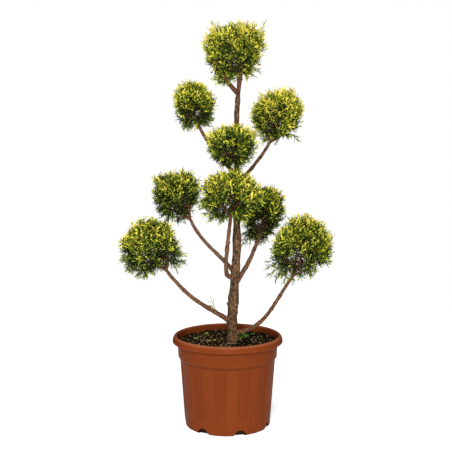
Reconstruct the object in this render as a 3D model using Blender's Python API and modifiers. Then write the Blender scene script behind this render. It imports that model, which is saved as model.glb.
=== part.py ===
"""Potted leyland cypress topiary: nine clipped balls of foliage on a trunk and eight boughs, in a nursery pot.

Metres, +Z up. The origin is the middle of the pot's flat underside and -Y is the front. An azimuth is
measured from the front towards +X.
"""

import math
import random
from dataclasses import dataclass

import bmesh
import bpy
import numpy as np
from mathutils import Matrix

GAP = 0.0003  # clearance that touching pieces keep

# Ten litre nursery pot
POT_HEIGHT = 0.231
POT_WALL = 0.003
POT_STEPS = 48
RIM_RADIUS = 0.140
RIM_DROP = 0.017  # height of the rim's turned down face
RIM_INNER_RADIUS = 0.128
RIM_INNER_CHAMFER = (0.002, 0.003)
# The rim's outer face: how far in from its edge and down from its top
RIM_FACE = ((0.0075, 0.0), (0.0035, 0.0025), (0.0012, 0.008), (0.0, 0.015), (0.0006, 0.017))
COLLAR_RADIUS = 0.1275
COLLAR_HEIGHT = 0.037  # plain band between the rim and the ledge
COLLAR_TAPER = 0.0025
LEDGE_DEPTH = 0.0035
BODY_RADIUS = 0.121
BASE_RADIUS = 0.108
BASE_CHAMFER = 0.003

FLUTES = 12
FLUTE_OFFSET = -9.5  # degrees from the front to the middle of a flute
FLUTE_WIDTH = 0.028
FLUTE_TOP = 0.172
FLUTE_FOOT = 0.070
FLUTE_DEPTH = 0.0017
CUTTER_DEPTH = 0.008

NOTCHES = 7
NOTCH_OFFSET = 16.8  # degrees from the front to the middle of a notch
NOTCH_WIDTH = 0.027
NOTCH_CROWN = 0.55  # width of a notch's top as a share of its foot
NOTCH_HEIGHT = 0.0105
NOTCH_INNER_RADIUS = 0.094

# Compost
SOIL_HEIGHT = 0.218
SOIL_FLAT_RADIUS = 0.060
SOIL_EDGE_DROP = 0.002
SOIL_CLEARANCE = 0.0004

# Trunk: height, lean to the right and diameter, from below its flat cut to its fork
TRUNK = (
    (0.205, 0.013, 0.036),
    (0.222, 0.013, 0.029),
    (0.268, 0.011, 0.0255),
    (0.334, 0.016, 0.024),
    (0.415, 0.021, 0.021),
    (0.475, 0.023, 0.0188),
    (0.611, 0.023, 0.0138),
    (0.772, 0.024, 0.0112),
    (0.826, 0.026, 0.0100),
)
TRUNK_SPAN_POINTS = 2
TRUNK_SIDES = 10

# Pruned stubs on the trunk: height, azimuth, length beyond the bark and diameter
STUBS = (
    (0.308, 265, 0.0050, 0.0070),
    (0.327, 275, 0.0030, 0.0060),
    (0.313, 80, 0.0030, 0.0060),
    (0.286, 95, 0.0025, 0.0055),
    (0.455, 85, 0.0025, 0.0045),
    (0.650, 80, 0.0035, 0.0040),
)
STUB_SINK = 0.006
STUB_SIDES = 6
STUB_TAPER = (0.62, 0.42)  # radius at its root and at its end, as a share of its diameter
STUB_TILT = 72  # degrees from upright

BOUGH_POINTS = 11
BOUGH_SIDES = 6
FORK_LENGTH = 0.012  # from a bough's tip to where its mass forks
LIMB_ROOT = 0.002  # how far below the fork a limb starts
LIMB_SHARE = 0.66  # a limb's diameter at the fork, as a share of its stem's
LIMB_TAPER = 0.5  # a limb's diameter at its end, as a share of that at the fork
LIMB_POINTS = 3
LIMB_SIDES = 4

CORE_SHARE = 0.75  # size of the core as a share of the mass's space
CORE_ROUGHNESS = 0.07
BLADES = 37
BLADE_ROOT = 0.58  # where a blade starts, as a share of the way out to the mass's outline
BLADE_REACH = (0.94, 1.05)  # least and most reach of its tip, as a share of the way out
BLADE_LIFT = 0.22  # how far a blade leans up from straight out
BLADE_WIDTH = 0.90  # width of a blade as a share of its length
BLADE_THICKNESS = 0.0022
STRAY_WIDTH = 0.45
STRAY_DEPTH = (-0.3, 0.1)  # least and most lean of a stray to the back
STEM_CLEAR_ANGLE = 20  # degrees kept free of blades round the stem
LIMB_CLEARANCE = 0.003  # between a blade and the trunk or a bough
NEIGHBOUR_SHARE = 1.02  # how far out of another mass's outline a blade stays

# A blade's outline along its length (0 root, 1 tip) and across it (1 half its width)
BLADE_OUTLINE = (
    (0.0, 0.25),
    (0.52, 1.0),
    (0.60, 0.34),
    (1.0, 0.0),
    (0.60, -0.34),
    (0.52, -1.0),
    (0.0, -0.25),
)
BLADE_RIDGE = 0.42
SIDE_AXIS = (0.31, 0.94, 0.14)  # a blade's width lies square to this before it is rolled


@dataclass(frozen=True)
class Bough:
    """A limb from the trunk's middle to its tip, as the control points of one smooth bend."""

    name: str
    route: tuple
    diameter: float
    tip_diameter: float


@dataclass(frozen=True)
class Ball:
    """A clipped mass: its middle, width, height and how much it narrows downwards.

    The outline holds its reach at even angles in the front view, anticlockwise from the right, as a share
    of that even shape's. A stray spray is such an angle and its reach as a share of the outline's. A limb
    is the point that it bends by and the point where it ends.
    """

    name: str
    middle: tuple
    width: float
    height: float
    narrowing: float
    outline: tuple
    limbs: tuple
    strays: tuple
    seed: int


BOUGHS = (
    Bough(
        "lower_right",
        ((0.014, 0, 0.236), (0.097, 0, 0.239), (0.117, -0.025, 0.323), (0.158, -0.028, 0.379)),
        0.0115,
        0.0080,
    ),
    Bough(
        "lower_left",
        ((0.012, 0, 0.262), (-0.059, -0.023, 0.314), (-0.086, -0.041, 0.319), (-0.145, -0.052, 0.397)),
        0.0125,
        0.0084,
    ),
    Bough(
        "middle_left",
        ((0.019, 0, 0.388), (-0.014, 0.021, 0.431), (-0.066, 0.031, 0.460), (-0.092, 0.039, 0.514)),
        0.0105,
        0.0078,
    ),
    Bough(
        "middle_centre",
        ((0.018, 0, 0.374), (-0.029, -0.023, 0.389), (0.011, -0.056, 0.484), (0.006, -0.078, 0.527)),
        0.0095,
        0.0072,
    ),
    Bough(
        "middle_right",
        ((0.018, 0, 0.352), (0.047, 0.014, 0.391), (0.060, 0.050, 0.432), (0.082, 0.070, 0.474)),
        0.0095,
        0.0068,
    ),
    Bough(
        "upper_right",
        ((0.023, 0, 0.613), (0.050, 0.009, 0.644), (0.077, 0.015, 0.676), (0.101, 0.024, 0.710)),
        0.0100,
        0.0072,
    ),
    Bough(
        "upper_left",
        ((0.022, 0, 0.638), (-0.015, 0.021, 0.666), (-0.045, 0.039, 0.706), (-0.069, 0.052, 0.749)),
        0.0095,
        0.0072,
    ),
    Bough(
        "upper_centre",
        ((0.023, 0, 0.604), (0.016, -0.023, 0.623), (0.004, -0.047, 0.642), (0.002, -0.068, 0.666)),
        0.0080,
        0.0062,
    ),
)

BALLS = (
    Ball(
        "top",
        (0.017, 0, 0.938),
        0.159,
        0.152,
        0.26,
        (0.92, 1.0, 1.0, 0.99, 1.0, 0.97, 0.99, 1.05, 1.12, 0.9, 0.86, 0.89),
        (
            ((0.003, -0.01, 0.859), (-0.028, -0.028, 0.911)),
            ((0.033, -0.002, 0.889), (0.047, -0.02, 0.936)),
            ((0.029, -0.004, 0.886), (-0.006, -0.026, 0.923)),
            ((0.029, 0.008, 0.877), (0.026, 0.038, 0.939)),
        ),
        ((125, 1.2), (50, 1.26), (243, 1.0), (325, 1.26)),
        11,
    ),
    Ball(
        "upper_left",
        (-0.084, 0.06, 0.811),
        0.111,
        0.131,
        0.1,
        (0.95, 0.87, 0.88, 0.95, 1.03, 1.04, 1.0, 1.0, 1.0, 0.94, 1.08, 1.04),
        (
            ((-0.086, 0.052, 0.771), (-0.099, 0.044, 0.811)),
            ((-0.072, 0.056, 0.771), (-0.049, 0.056, 0.804)),
            ((-0.095, 0.056, 0.774), (-0.117, 0.062, 0.794)),
            ((-0.083, 0.066, 0.786), (-0.083, 0.08, 0.832)),
        ),
        ((8, 1.22), (256, 1.15), (105, 1.06)),
        12,
    ),
    Ball(
        "upper_right",
        (0.124, 0.03, 0.781),
        0.135,
        0.145,
        0.12,
        (0.95, 1.0, 1.03, 0.96, 0.98, 0.93, 1.0, 0.98, 1.04, 0.94, 0.8, 0.9),
        (
            ((0.136, 0.026, 0.732), (0.168, 0.03, 0.769)),
            ((0.11, 0.02, 0.737), (0.108, 0.014, 0.791)),
            ((0.121, 0.034, 0.741), (0.139, 0.048, 0.801)),
            ((0.101, 0.028, 0.727), (0.081, 0.028, 0.774)),
        ),
        ((316, 1.48), (128, 1.14), (58, 1.09)),
        13,
    ),
    Ball(
        "upper_centre",
        (0.011, -0.085, 0.711),
        0.124,
        0.11,
        0.14,
        (0.95, 0.95, 1.0, 0.98, 1.0, 1.0, 0.97, 1.02, 1.04, 1.0, 1.04, 1.0),
        (
            ((0.002, -0.097, 0.687), (-0.011, -0.107, 0.725)),
            ((0.01, -0.085, 0.677), (0.037, -0.083, 0.713)),
            ((-0.004, -0.089, 0.675), (-0.027, -0.089, 0.706)),
            ((0.008, -0.075, 0.686), (0.018, -0.061, 0.726)),
        ),
        ((200, 1.08), (318, 1.06)),
        14,
    ),
    Ball(
        "middle_left",
        (-0.131, 0.045, 0.584),
        0.127,
        0.127,
        0.1,
        (0.93, 0.98, 1.08, 0.94, 1.04, 1.04, 1.02, 1.04, 1.05, 0.88, 0.95, 0.87),
        (
            ((-0.121, 0.037, 0.532), (-0.158, 0.035, 0.557)),
            ((-0.097, 0.037, 0.55), (-0.11, 0.033, 0.593)),
            ((-0.097, 0.041, 0.552), (-0.086, 0.047, 0.592)),
            ((-0.103, 0.051, 0.543), (-0.137, 0.071, 0.598)),
        ),
        ((276, 1.25), (338, 1.27), (72, 1.06)),
        15,
    ),
    Ball(
        "middle_centre",
        (0.009, -0.095, 0.594),
        0.143,
        0.129,
        0.1,
        (1.06, 1.0, 0.91, 1.0, 1.02, 1.02, 1.0, 1.04, 1.06, 0.98, 0.96, 1.04),
        (
            ((0.003, -0.101, 0.551), (-0.028, -0.119, 0.589)),
            ((0.009, -0.103, 0.551), (0.032, -0.117, 0.591)),
            ((0.006, -0.095, 0.555), (0.003, -0.091, 0.613)),
            ((0.01, -0.083, 0.549), (0.025, -0.061, 0.603)),
        ),
        ((205, 1.07), (355, 1.02)),
        16,
    ),
    Ball(
        "middle_right",
        (0.095, 0.09, 0.534),
        0.114,
        0.14,
        0.12,
        (0.95, 1.02, 1.02, 1.04, 1.0, 1.0, 1.0, 1.04, 1.0, 0.93, 0.93, 0.87),
        (
            ((0.089, 0.08, 0.499), (0.099, 0.072, 0.549)),
            ((0.092, 0.086, 0.487), (0.122, 0.086, 0.524)),
            ((0.079, 0.086, 0.482), (0.066, 0.088, 0.518)),
            ((0.092, 0.094, 0.502), (0.093, 0.112, 0.563)),
        ),
        ((240, 1.14), (296, 1.25)),
        17,
    ),
    Ball(
        "lower_left",
        (-0.189, -0.055, 0.468),
        0.157,
        0.142,
        0.08,
        (0.86, 0.82, 0.94, 1.02, 0.93, 0.88, 0.98, 1.06, 1.1, 1.0, 0.88, 1.08),
        (
            ((-0.17, -0.063, 0.417), (-0.201, -0.071, 0.453)),
            ((-0.145, -0.065, 0.427), (-0.15, -0.069, 0.474)),
            ((-0.183, -0.057, 0.418), (-0.228, -0.049, 0.454)),
            ((-0.157, -0.049, 0.424), (-0.182, -0.025, 0.491)),
        ),
        ((330, 1.15), (245, 1.04), (172, 1.14)),
        18,
    ),
    Ball(
        "lower_right",
        (0.187, -0.03, 0.464),
        0.161,
        0.154,
        0.1,
        (0.92, 0.9, 0.93, 1.02, 0.97, 0.84, 0.88, 1.12, 1.12, 0.95, 0.88, 1.0),
        (
            ((0.151, -0.038, 0.41), (0.144, -0.044, 0.456)),
            ((0.18, -0.042, 0.426), (0.192, -0.052, 0.472)),
            ((0.194, -0.034, 0.402), (0.226, -0.028, 0.434)),
            ((0.17, -0.024, 0.421), (0.179, 0, 0.483)),
        ),
        ((209, 1.16), (262, 1.18), (12, 1.18)),
        19,
    ),
)

# A green shoot on the lower left bough: how far along it, and its size
SHOOT_PLACE = 0.26
SHOOT_LENGTH = 0.026
SHOOT_DIAMETER = 0.0022
SHOOT_LEAN = (-0.45, -0.05, 0.9)
SHOOT_WIDTH = 0.35  # width of its sprays as a share of their length
SHOOT_SPRAYS = ((0.35, -0.7, 0.016), (0.6, 0.6, 0.014), (0.9, -0.25, 0.014))  # place, slant and length
SHOOT_SINK = 0.0015  # how far inside the stem a spray starts


def clear_scene():
    for obj in list(bpy.data.objects):
        bpy.data.objects.remove(obj, do_unlink=True)


def new_collection(name):
    collection = bpy.data.collections.new(name)
    bpy.context.scene.collection.children.link(collection)
    return collection


def material(name, colour, roughness):
    """A plain finish: its colour in linear red, green and blue, and how matt it is."""
    made = bpy.data.materials.new(name)
    made.use_nodes = True
    shader = made.node_tree.nodes["Principled BSDF"]
    shader.inputs["Base Color"].default_value = (*colour, 1.0)
    shader.inputs["Roughness"].default_value = roughness
    shader.inputs["Metallic"].default_value = 0.0
    return made


def new_object(name, mesh, collection, finish=None):
    obj = bpy.data.objects.new(name, mesh)
    if finish:
        mesh.materials.clear()
        mesh.materials.append(finish)
    collection.objects.link(obj)
    return obj


def mesh_from(bm, name):
    mesh = bpy.data.meshes.new(name)
    bm.to_mesh(mesh)
    bm.free()
    return mesh


def bezier(controls, count):
    """Points at even steps of the Bezier curve through any number of control points."""
    controls = np.asarray(controls, float)
    order = len(controls) - 1
    steps = np.linspace(0.0, 1.0, count)[:, None]
    return sum(
        math.comb(order, i) * steps**i * (1 - steps) ** (order - i) * point for i, point in enumerate(controls)
    )


def smooth_rows(rows, per_span):
    """A smooth curve through every row of numbers, with per_span steps between one row and the next."""
    rows = np.asarray(rows, float)
    padded = np.vstack([2 * rows[0] - rows[1], rows, 2 * rows[-1] - rows[-2]])
    found = []
    for i in range(1, len(padded) - 2):
        before, start, end, after = padded[i - 1 : i + 3]
        for t in np.arange(per_span) / per_span:
            leave, arrive = (end - before) / 2, (after - start) / 2
            found.append(
                (2 * t**3 - 3 * t**2 + 1) * start
                + (t**3 - 2 * t**2 + t) * leave
                + (3 * t**2 - 2 * t**3) * end
                + (t**3 - t**2) * arrive
            )
    return np.array(found + [rows[-1]])


def unit(vector):
    return vector / np.linalg.norm(vector)


def tube_mesh(name, points, diameters, sides):
    """A closed tube through the points, with a diameter at each. It has 4, 6, 8 or more sides."""
    curve = bpy.data.curves.new(name, "CURVE")
    curve.dimensions = "3D"
    curve.use_fill_caps = True
    curve.bevel_resolution = (sides - 4) // 2
    curve.bevel_depth = 0.5
    spline = curve.splines.new("POLY")
    spline.points.add(len(points) - 1)
    for node, point, diameter in zip(spline.points, points, diameters):
        node.co = (*point, 1.0)
        node.radius = diameter
    guide = bpy.data.objects.new(name, curve)
    bpy.context.scene.collection.objects.link(guide)
    graph = bpy.context.evaluated_depsgraph_get()
    mesh = bpy.data.meshes.new_from_object(guide.evaluated_get(graph))
    bpy.data.objects.remove(guide)
    bm = bmesh.new()
    bm.from_mesh(mesh)
    bmesh.ops.remove_doubles(bm, verts=bm.verts, dist=0.00001)
    bmesh.ops.recalc_face_normals(bm, faces=bm.faces)
    bm.to_mesh(mesh)
    bm.free()
    return mesh


def largest_body(mesh):
    """Keeps the mesh's largest connected body, so that no loose scrap is left beside it."""
    bm = bmesh.new()
    bm.from_mesh(mesh)
    bmesh.ops.triangulate(bm, faces=bm.faces)
    bmesh.ops.dissolve_degenerate(bm, dist=0.000002, edges=bm.edges)
    unseen = set(bm.verts)
    bodies = []
    while unseen:
        body, edge_of_body = set(), [unseen.pop()]
        while edge_of_body:
            vert = edge_of_body.pop()
            body.add(vert)
            beyond = {edge.other_vert(vert) for edge in vert.link_edges} & unseen
            unseen -= beyond
            edge_of_body.extend(beyond)
        bodies.append(body)
    bodies.sort(key=len)
    scraps = [vert for body in bodies[:-1] for vert in body]
    bmesh.ops.delete(bm, geom=scraps, context="VERTS")
    bm.to_mesh(mesh)
    bm.free()


def fuse(name, meshes, collection, finish):
    """One solid from many closed meshes, by a Boolean union of the first with a collection of the rest."""
    others = new_collection(name + "_pieces")
    body = new_object(name + "_body", meshes[0], collection)
    pieces = [new_object(f"{name}_piece_{i}", mesh, others) for i, mesh in enumerate(meshes[1:])]
    union = body.modifiers.new("Fuse", "BOOLEAN")
    union.operation = "UNION"
    union.operand_type = "COLLECTION"
    union.collection = others
    union.solver = "EXACT"
    bpy.context.view_layer.update()
    graph = bpy.context.evaluated_depsgraph_get()
    fused = bpy.data.meshes.new_from_object(body.evaluated_get(graph))
    fused.name = name
    for obj in pieces + [body]:
        bpy.data.objects.remove(obj)
    bpy.data.collections.remove(others)
    largest_body(fused)
    return new_object(name, fused, collection, finish)


def shade(obj, angle):
    obj.data.shade_smooth()
    obj.data.set_sharp_from_angle(angle=math.radians(angle))


# Pot and compost


def wall_radius(height):
    """Outer radius of the pot's plain body at a height."""
    share = height / (POT_HEIGHT - RIM_DROP - COLLAR_HEIGHT)
    return BASE_RADIUS + (BODY_RADIUS - BASE_RADIUS) * share


def pot_profile():
    """The pot's half section: up its inner side, over the rim and down its outer side, as (radius, height)."""
    lip = POT_HEIGHT - RIM_DROP
    ledge = lip - COLLAR_HEIGHT
    collar_foot = COLLAR_RADIUS - COLLAR_TAPER
    inner = [
        (0, POT_WALL),
        (wall_radius(POT_WALL) - POT_WALL, POT_WALL),
        (BODY_RADIUS - POT_WALL, ledge - LEDGE_DEPTH),
        (collar_foot - POT_WALL, ledge),
        (RIM_INNER_RADIUS, POT_HEIGHT - RIM_INNER_CHAMFER[1]),
        (RIM_INNER_RADIUS + RIM_INNER_CHAMFER[0], POT_HEIGHT),
    ]
    rim = [(RIM_RADIUS - inward, POT_HEIGHT - down) for inward, down in RIM_FACE]
    outer = [
        (COLLAR_RADIUS, lip),
        (collar_foot, ledge),
        (BODY_RADIUS, ledge - LEDGE_DEPTH),
        (wall_radius(BASE_CHAMFER), BASE_CHAMFER),
        (BASE_RADIUS - BASE_CHAMFER, 0),
        (0, 0),
    ]
    return inner + rim + outer


def soil_profile():
    """The compost's half section, down its outer side, which follows the inside of the pot."""
    ledge = POT_HEIGHT - RIM_DROP - COLLAR_HEIGHT
    inset = POT_WALL + SOIL_CLEARANCE
    collar_foot = COLLAR_RADIUS - COLLAR_TAPER
    edge_height = SOIL_HEIGHT - SOIL_EDGE_DROP
    wall_foot = collar_foot - POT_WALL
    rise = (edge_height - ledge) / (POT_HEIGHT - RIM_INNER_CHAMFER[1] - ledge)
    edge_radius = wall_foot + rise * (RIM_INNER_RADIUS - wall_foot) - SOIL_CLEARANCE
    foot = POT_WALL + SOIL_CLEARANCE
    return [
        (0, SOIL_HEIGHT),
        (SOIL_FLAT_RADIUS, SOIL_HEIGHT),
        (edge_radius, edge_height),
        (collar_foot - inset, ledge),
        (BODY_RADIUS - inset, ledge - LEDGE_DEPTH),
        (wall_radius(foot) - inset, foot),
        (0, foot),
    ]


def turned(name, profile, collection, finish):
    """A solid turned about Z from a half section that starts and ends on the axis."""
    bm = bmesh.new()
    corners = [bm.verts.new((radius, 0, height)) for radius, height in profile]
    for start, end in zip(corners, corners[1:]):
        bm.edges.new((start, end))
    obj = new_object(name, mesh_from(bm, name), collection, finish)
    screw = obj.modifiers.new("Turn", "SCREW")
    screw.axis = "Z"
    screw.steps = screw.render_steps = POT_STEPS
    screw.use_merge_vertices = True
    screw.merge_threshold = 0.00001
    return obj


def cutter_box(name, size, crown, matrix, collection):
    """A box cutter whose upper face is crown times as wide as its foot, placed by the matrix."""
    bm = bmesh.new()
    bmesh.ops.create_cube(bm, size=1.0, matrix=Matrix.Diagonal((*size, 1.0)))
    for vert in bm.verts:
        if vert.co.z > 0:
            vert.co.x *= crown
    bmesh.ops.transform(bm, matrix=matrix, verts=bm.verts)
    obj = new_object(name, mesh_from(bm, name), collection)
    obj.hide_render = True
    obj.display_type = "WIRE"
    return obj


def facing(azimuth):
    """A turn about Z that takes the front, -Y, to the azimuth in degrees."""
    return Matrix.Rotation(math.radians(azimuth), 4, "Z")


def cut_flutes(collection):
    """Shallow upright recesses under the ledge, deepest at the top and run out above the base."""
    height = FLUTE_TOP - FLUTE_FOOT
    top_face = wall_radius(FLUTE_TOP) - FLUTE_DEPTH
    foot_face = wall_radius(FLUTE_FOOT)
    tilt = math.atan2(top_face - foot_face, height)
    middle = (0, -(top_face + foot_face) / 2, (FLUTE_TOP + FLUTE_FOOT) / 2)
    outward = Matrix.Translation((0, -CUTTER_DEPTH / 2, 0))
    for i in range(FLUTES):
        place = facing(FLUTE_OFFSET + i * 360 / FLUTES) @ Matrix.Translation(middle)
        place = place @ Matrix.Rotation(tilt, 4, "X") @ outward
        cutter_box(f"flute_cutter_{i}", (FLUTE_WIDTH, CUTTER_DEPTH, height), 1.0, place, collection)


def cut_notches(collection):
    """Drainage notches through the wall and the edge of the floor."""
    depth = BASE_RADIUS - NOTCH_INNER_RADIUS + CUTTER_DEPTH
    height = NOTCH_HEIGHT * 2
    for i in range(NOTCHES):
        middle = (0, -NOTCH_INNER_RADIUS - depth / 2, 0)
        place = facing(NOTCH_OFFSET + i * 360 / NOTCHES) @ Matrix.Translation(middle)
        foot_width = NOTCH_WIDTH * (2 - NOTCH_CROWN)
        crown = NOTCH_WIDTH * NOTCH_CROWN / foot_width
        cutter_box(f"notch_cutter_{i}", (foot_width, depth, height), crown, place, collection)


def build_pot(collection, cutters):
    finish = material("terracotta_plastic", (0.29, 0.064, 0.022), 0.45)
    pot = turned("pot", pot_profile(), collection, finish)
    cut_flutes(cutters)
    cut_notches(cutters)
    cut = pot.modifiers.new("Flutes and notches", "BOOLEAN")
    cut.operation = "DIFFERENCE"
    cut.operand_type = "COLLECTION"
    cut.collection = cutters
    cut.solver = "EXACT"
    shade(pot, 30)


def build_soil(collection):
    turned("soil", soil_profile(), collection, material("compost", (0.022, 0.016, 0.011), 0.95))


# Trunk and boughs


def trunk_line():
    """The trunk's points and diameters from below its flat cut to its fork."""
    rows = smooth_rows(TRUNK, TRUNK_SPAN_POINTS)
    points = np.stack([rows[:, 1], np.zeros(len(rows)), rows[:, 0]], axis=1)
    return points, rows[:, 2]


def trunk_at(height):
    """The trunk's lean and diameter at a height."""
    points, diameters = trunk_line()
    return float(np.interp(height, points[:, 2], points[:, 0])), float(
        np.interp(height, points[:, 2], diameters)
    )


def cut_flat(mesh, height):
    """Removes what lies below a height and closes the cut."""
    bm = bmesh.new()
    bm.from_mesh(mesh)
    everything = [*bm.verts, *bm.edges, *bm.faces]
    cut = bmesh.ops.bisect_plane(
        bm, geom=everything, plane_co=(0, 0, height), plane_no=(0, 0, 1), clear_inner=True
    )
    rim = [part for part in cut["geom_cut"] if isinstance(part, bmesh.types.BMEdge)]
    bmesh.ops.contextual_create(bm, geom=rim)
    bmesh.ops.recalc_face_normals(bm, faces=bm.faces)
    bm.to_mesh(mesh)
    bm.free()


def stub_mesh(index, height, azimuth, length, diameter):
    """A short pruned stump that stands out of the bark."""
    lean, girth = trunk_at(height)
    root = girth / 2 - STUB_SINK
    depth = STUB_SINK + length
    bm = bmesh.new()
    foot, end = (diameter * share for share in STUB_TAPER)
    bmesh.ops.create_cone(bm, cap_ends=True, segments=STUB_SIDES, radius1=foot, radius2=end, depth=depth)
    turn = facing(azimuth) @ Matrix.Rotation(math.radians(STUB_TILT), 4, "X")
    place = Matrix.Translation((lean, 0, height)) @ turn @ Matrix.Translation((0, 0, root + depth / 2))
    bmesh.ops.transform(bm, matrix=place, verts=bm.verts)
    return mesh_from(bm, f"stub_{index}")


def build_trunk(collection, finish):
    points, diameters = trunk_line()
    body = tube_mesh("trunk_body", points, diameters, TRUNK_SIDES)
    cut_flat(body, SOIL_HEIGHT + GAP)
    stubs = [stub_mesh(i, *stub) for i, stub in enumerate(STUBS)]
    shade(fuse("trunk", [body] + stubs, collection, finish), 50)


def bough_line(bough):
    points = bezier(bough.route, BOUGH_POINTS)
    return points, np.linspace(bough.diameter, bough.tip_diameter, BOUGH_POINTS)


def build_boughs(collection, cutters, finish):
    """Each bough starts inside the trunk and is cut back to just clear of its bark."""
    points, diameters = trunk_line()
    fattened = tube_mesh("clearance", points, diameters + 2 * GAP, TRUNK_SIDES)
    clearance = new_object("trunk_clearance", fattened, cutters)
    clearance.hide_render = True
    clearance.display_type = "WIRE"
    for bough in BOUGHS:
        line, girths = bough_line(bough)
        body = tube_mesh(bough.name, line, girths, BOUGH_SIDES)
        limb = new_object(f"bough_{bough.name}", body, collection, finish)
        cut = limb.modifiers.new("Clear of the trunk", "BOOLEAN")
        cut.operation = "DIFFERENCE"
        cut.object = clearance
        cut.solver = "EXACT"
        shade(limb, 50)


# Foliage


def outline_share(ball, place):
    """How far the outline reaches beyond the even shape in a place's direction. It fades to 1 at the back."""
    angle = np.arctan2(place[..., 2], place[..., 0]) % math.tau
    stops = np.arange(len(ball.outline) + 1) * math.tau / len(ball.outline)
    reach = np.interp(angle, stops, (*ball.outline, ball.outline[0]))
    sideways = 1 - (place[..., 1] / np.linalg.norm(place, axis=-1)) ** 2
    return (1 + (reach - 1) * sideways)[..., None]


def into_space(ball, place):
    """Takes a point of the unit ball to the mass's space, which is narrower below than above."""
    half_width, half_height = ball.width / 2, ball.height / 2
    girth = half_width * (1 + ball.narrowing * place[..., 2:3])
    grown = np.concatenate([place[..., :2] * girth, place[..., 2:3] * half_height], axis=-1)
    return np.asarray(ball.middle) + grown * outline_share(ball, place)


def out_of_space(ball, points):
    """About the reverse of into_space: a result longer than 1 lies outside the mass's outline."""
    local = points - np.asarray(ball.middle)
    up = local[..., 2:3] / (ball.height / 2)
    girth = np.maximum(ball.width / 2 * (1 + ball.narrowing * np.clip(up, -1, 1)), GAP)
    place = np.concatenate([local[..., :2] / girth, up], axis=-1)
    return place / outline_share(ball, place)


def even_directions(count):
    """Directions spread evenly over a ball, each turned from the last by the golden angle."""
    order = np.arange(count) + 0.5
    up = 1 - 2 * order / count
    turn = order * math.pi * (3 - math.sqrt(5))
    across = np.sqrt(1 - up**2)
    return np.stack([across * np.cos(turn), across * np.sin(turn), up], axis=1)


def stem_of(ball):
    """Where a mass's stem starts, its direction and its diameter: at its bough's tip or the trunk's fork."""
    bough = next((bough for bough in BOUGHS if bough.name == ball.name), None)
    points, girths = bough_line(bough) if bough else trunk_line()
    direction = unit(points[-1] - points[-2])
    return points[-1] + direction * GAP, direction, girths[-1]


def limb_meshes(ball):
    """The stem from the bough's tip to the fork, and the limbs from the fork into the core."""
    start, direction, diameter = stem_of(ball)
    fork = start + direction * FORK_LENGTH
    girth = diameter * LIMB_SHARE
    yield tube_mesh("stem", [start, (start + fork) / 2, fork], [diameter, diameter, girth], BOUGH_SIDES)
    for knee, end in ball.limbs:
        points = bezier((fork - direction * LIMB_ROOT, knee, end), LIMB_POINTS)
        yield tube_mesh("limb", points, np.linspace(girth, girth * LIMB_TAPER, LIMB_POINTS), LIMB_SIDES)


def core_mesh(ball, chance):
    """The dense middle of a clipped mass, as a slightly uneven ball."""
    bm = bmesh.new()
    bmesh.ops.create_icosphere(bm, subdivisions=2, radius=CORE_SHARE)
    for vert in bm.verts:
        rough = 1 + chance.uniform(-CORE_ROUGHNESS, CORE_ROUGHNESS)
        vert.co = into_space(ball, np.array(vert.co) * rough)
    return mesh_from(bm, "core")


def blade_shape(root, tip, width, roll):
    """A blade's outline points, and the direction square to it, with the blade rolled about its length."""
    along = tip - root
    forward = unit(along)
    aside = unit(np.cross(forward, SIDE_AXIS))
    across = aside * math.cos(roll) + np.cross(forward, aside) * math.sin(roll)
    outline = np.array([root + along * share + across * side * width / 2 for share, side in BLADE_OUTLINE])
    return outline, np.cross(forward, across)


def blade_mesh(outline, upright):
    """A spray as a toothed blade: a flat outline round a ridge that gives it thickness on both sides."""
    bm = bmesh.new()
    rim = [bm.verts.new(point) for point in outline]
    root, tip = (outline[0] + outline[-1]) / 2, outline[len(outline) // 2]
    middle = root + (tip - root) * BLADE_RIDGE
    for side in (1, -1):
        ridge = bm.verts.new(middle + upright * side * BLADE_THICKNESS / 2)
        for start, end in zip(rim, rim[1:] + rim[:1]):
            bm.faces.new((start, end, ridge))
    bmesh.ops.recalc_face_normals(bm, faces=bm.faces)
    return mesh_from(bm, "blade")


def distance_to_line(points, line):
    """How near any of the points comes to a line of joined points."""
    starts, spans = line[:-1], np.diff(line, axis=0)
    reach = points[:, None] - starts[None]
    share = np.clip((reach * spans).sum(-1) / (spans**2).sum(-1), 0, 1)
    return np.linalg.norm(reach - share[..., None] * spans, axis=-1).min()


def blade_is_clear(ball, outline):
    """Whether a blade stays out of the other masses' spaces and off the trunk and every bough."""
    for other in BALLS:
        if other is ball:
            continue
        if np.linalg.norm(out_of_space(other, outline), axis=-1).min() < NEIGHBOUR_SHARE:
            return False
    for line, girths in [trunk_line()] + [bough_line(bough) for bough in BOUGHS]:
        if distance_to_line(outline, line) < max(girths) / 2 + LIMB_CLEARANCE:
            return False
    return True


def blade_places(ball, chance):
    """The root, tip and width of each blade: evenly spread sprays first, then the strays."""
    _, direction, _ = stem_of(ball)
    free = math.cos(math.radians(STEM_CLEAR_ANGLE))
    for out in even_directions(BLADES):
        if out @ -direction > free:
            continue
        reach = chance.uniform(*BLADE_REACH)
        lean = unit(out + np.array([0, 0, BLADE_LIFT]))
        root = into_space(ball, out * BLADE_ROOT)
        tip = into_space(ball, lean * reach)
        yield root, tip, np.linalg.norm(tip - root) * BLADE_WIDTH
    for angle, reach in ball.strays:
        turn = math.radians(angle)
        out = unit(np.array([math.cos(turn), chance.uniform(*STRAY_DEPTH), math.sin(turn)]))
        root = into_space(ball, out * BLADE_ROOT)
        tip = into_space(ball, out * reach)
        yield root, tip, np.linalg.norm(tip - root) * STRAY_WIDTH


def build_ball(ball, collection, finish):
    chance = random.Random(ball.seed)
    meshes = [core_mesh(ball, chance), *limb_meshes(ball)]
    for root, tip, width in blade_places(ball, chance):
        outline, upright = blade_shape(root, tip, width, chance.uniform(0, math.pi))
        if blade_is_clear(ball, outline):
            meshes.append(blade_mesh(outline, upright))
    fuse(f"foliage_{ball.name}", meshes, collection, finish)


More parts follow.
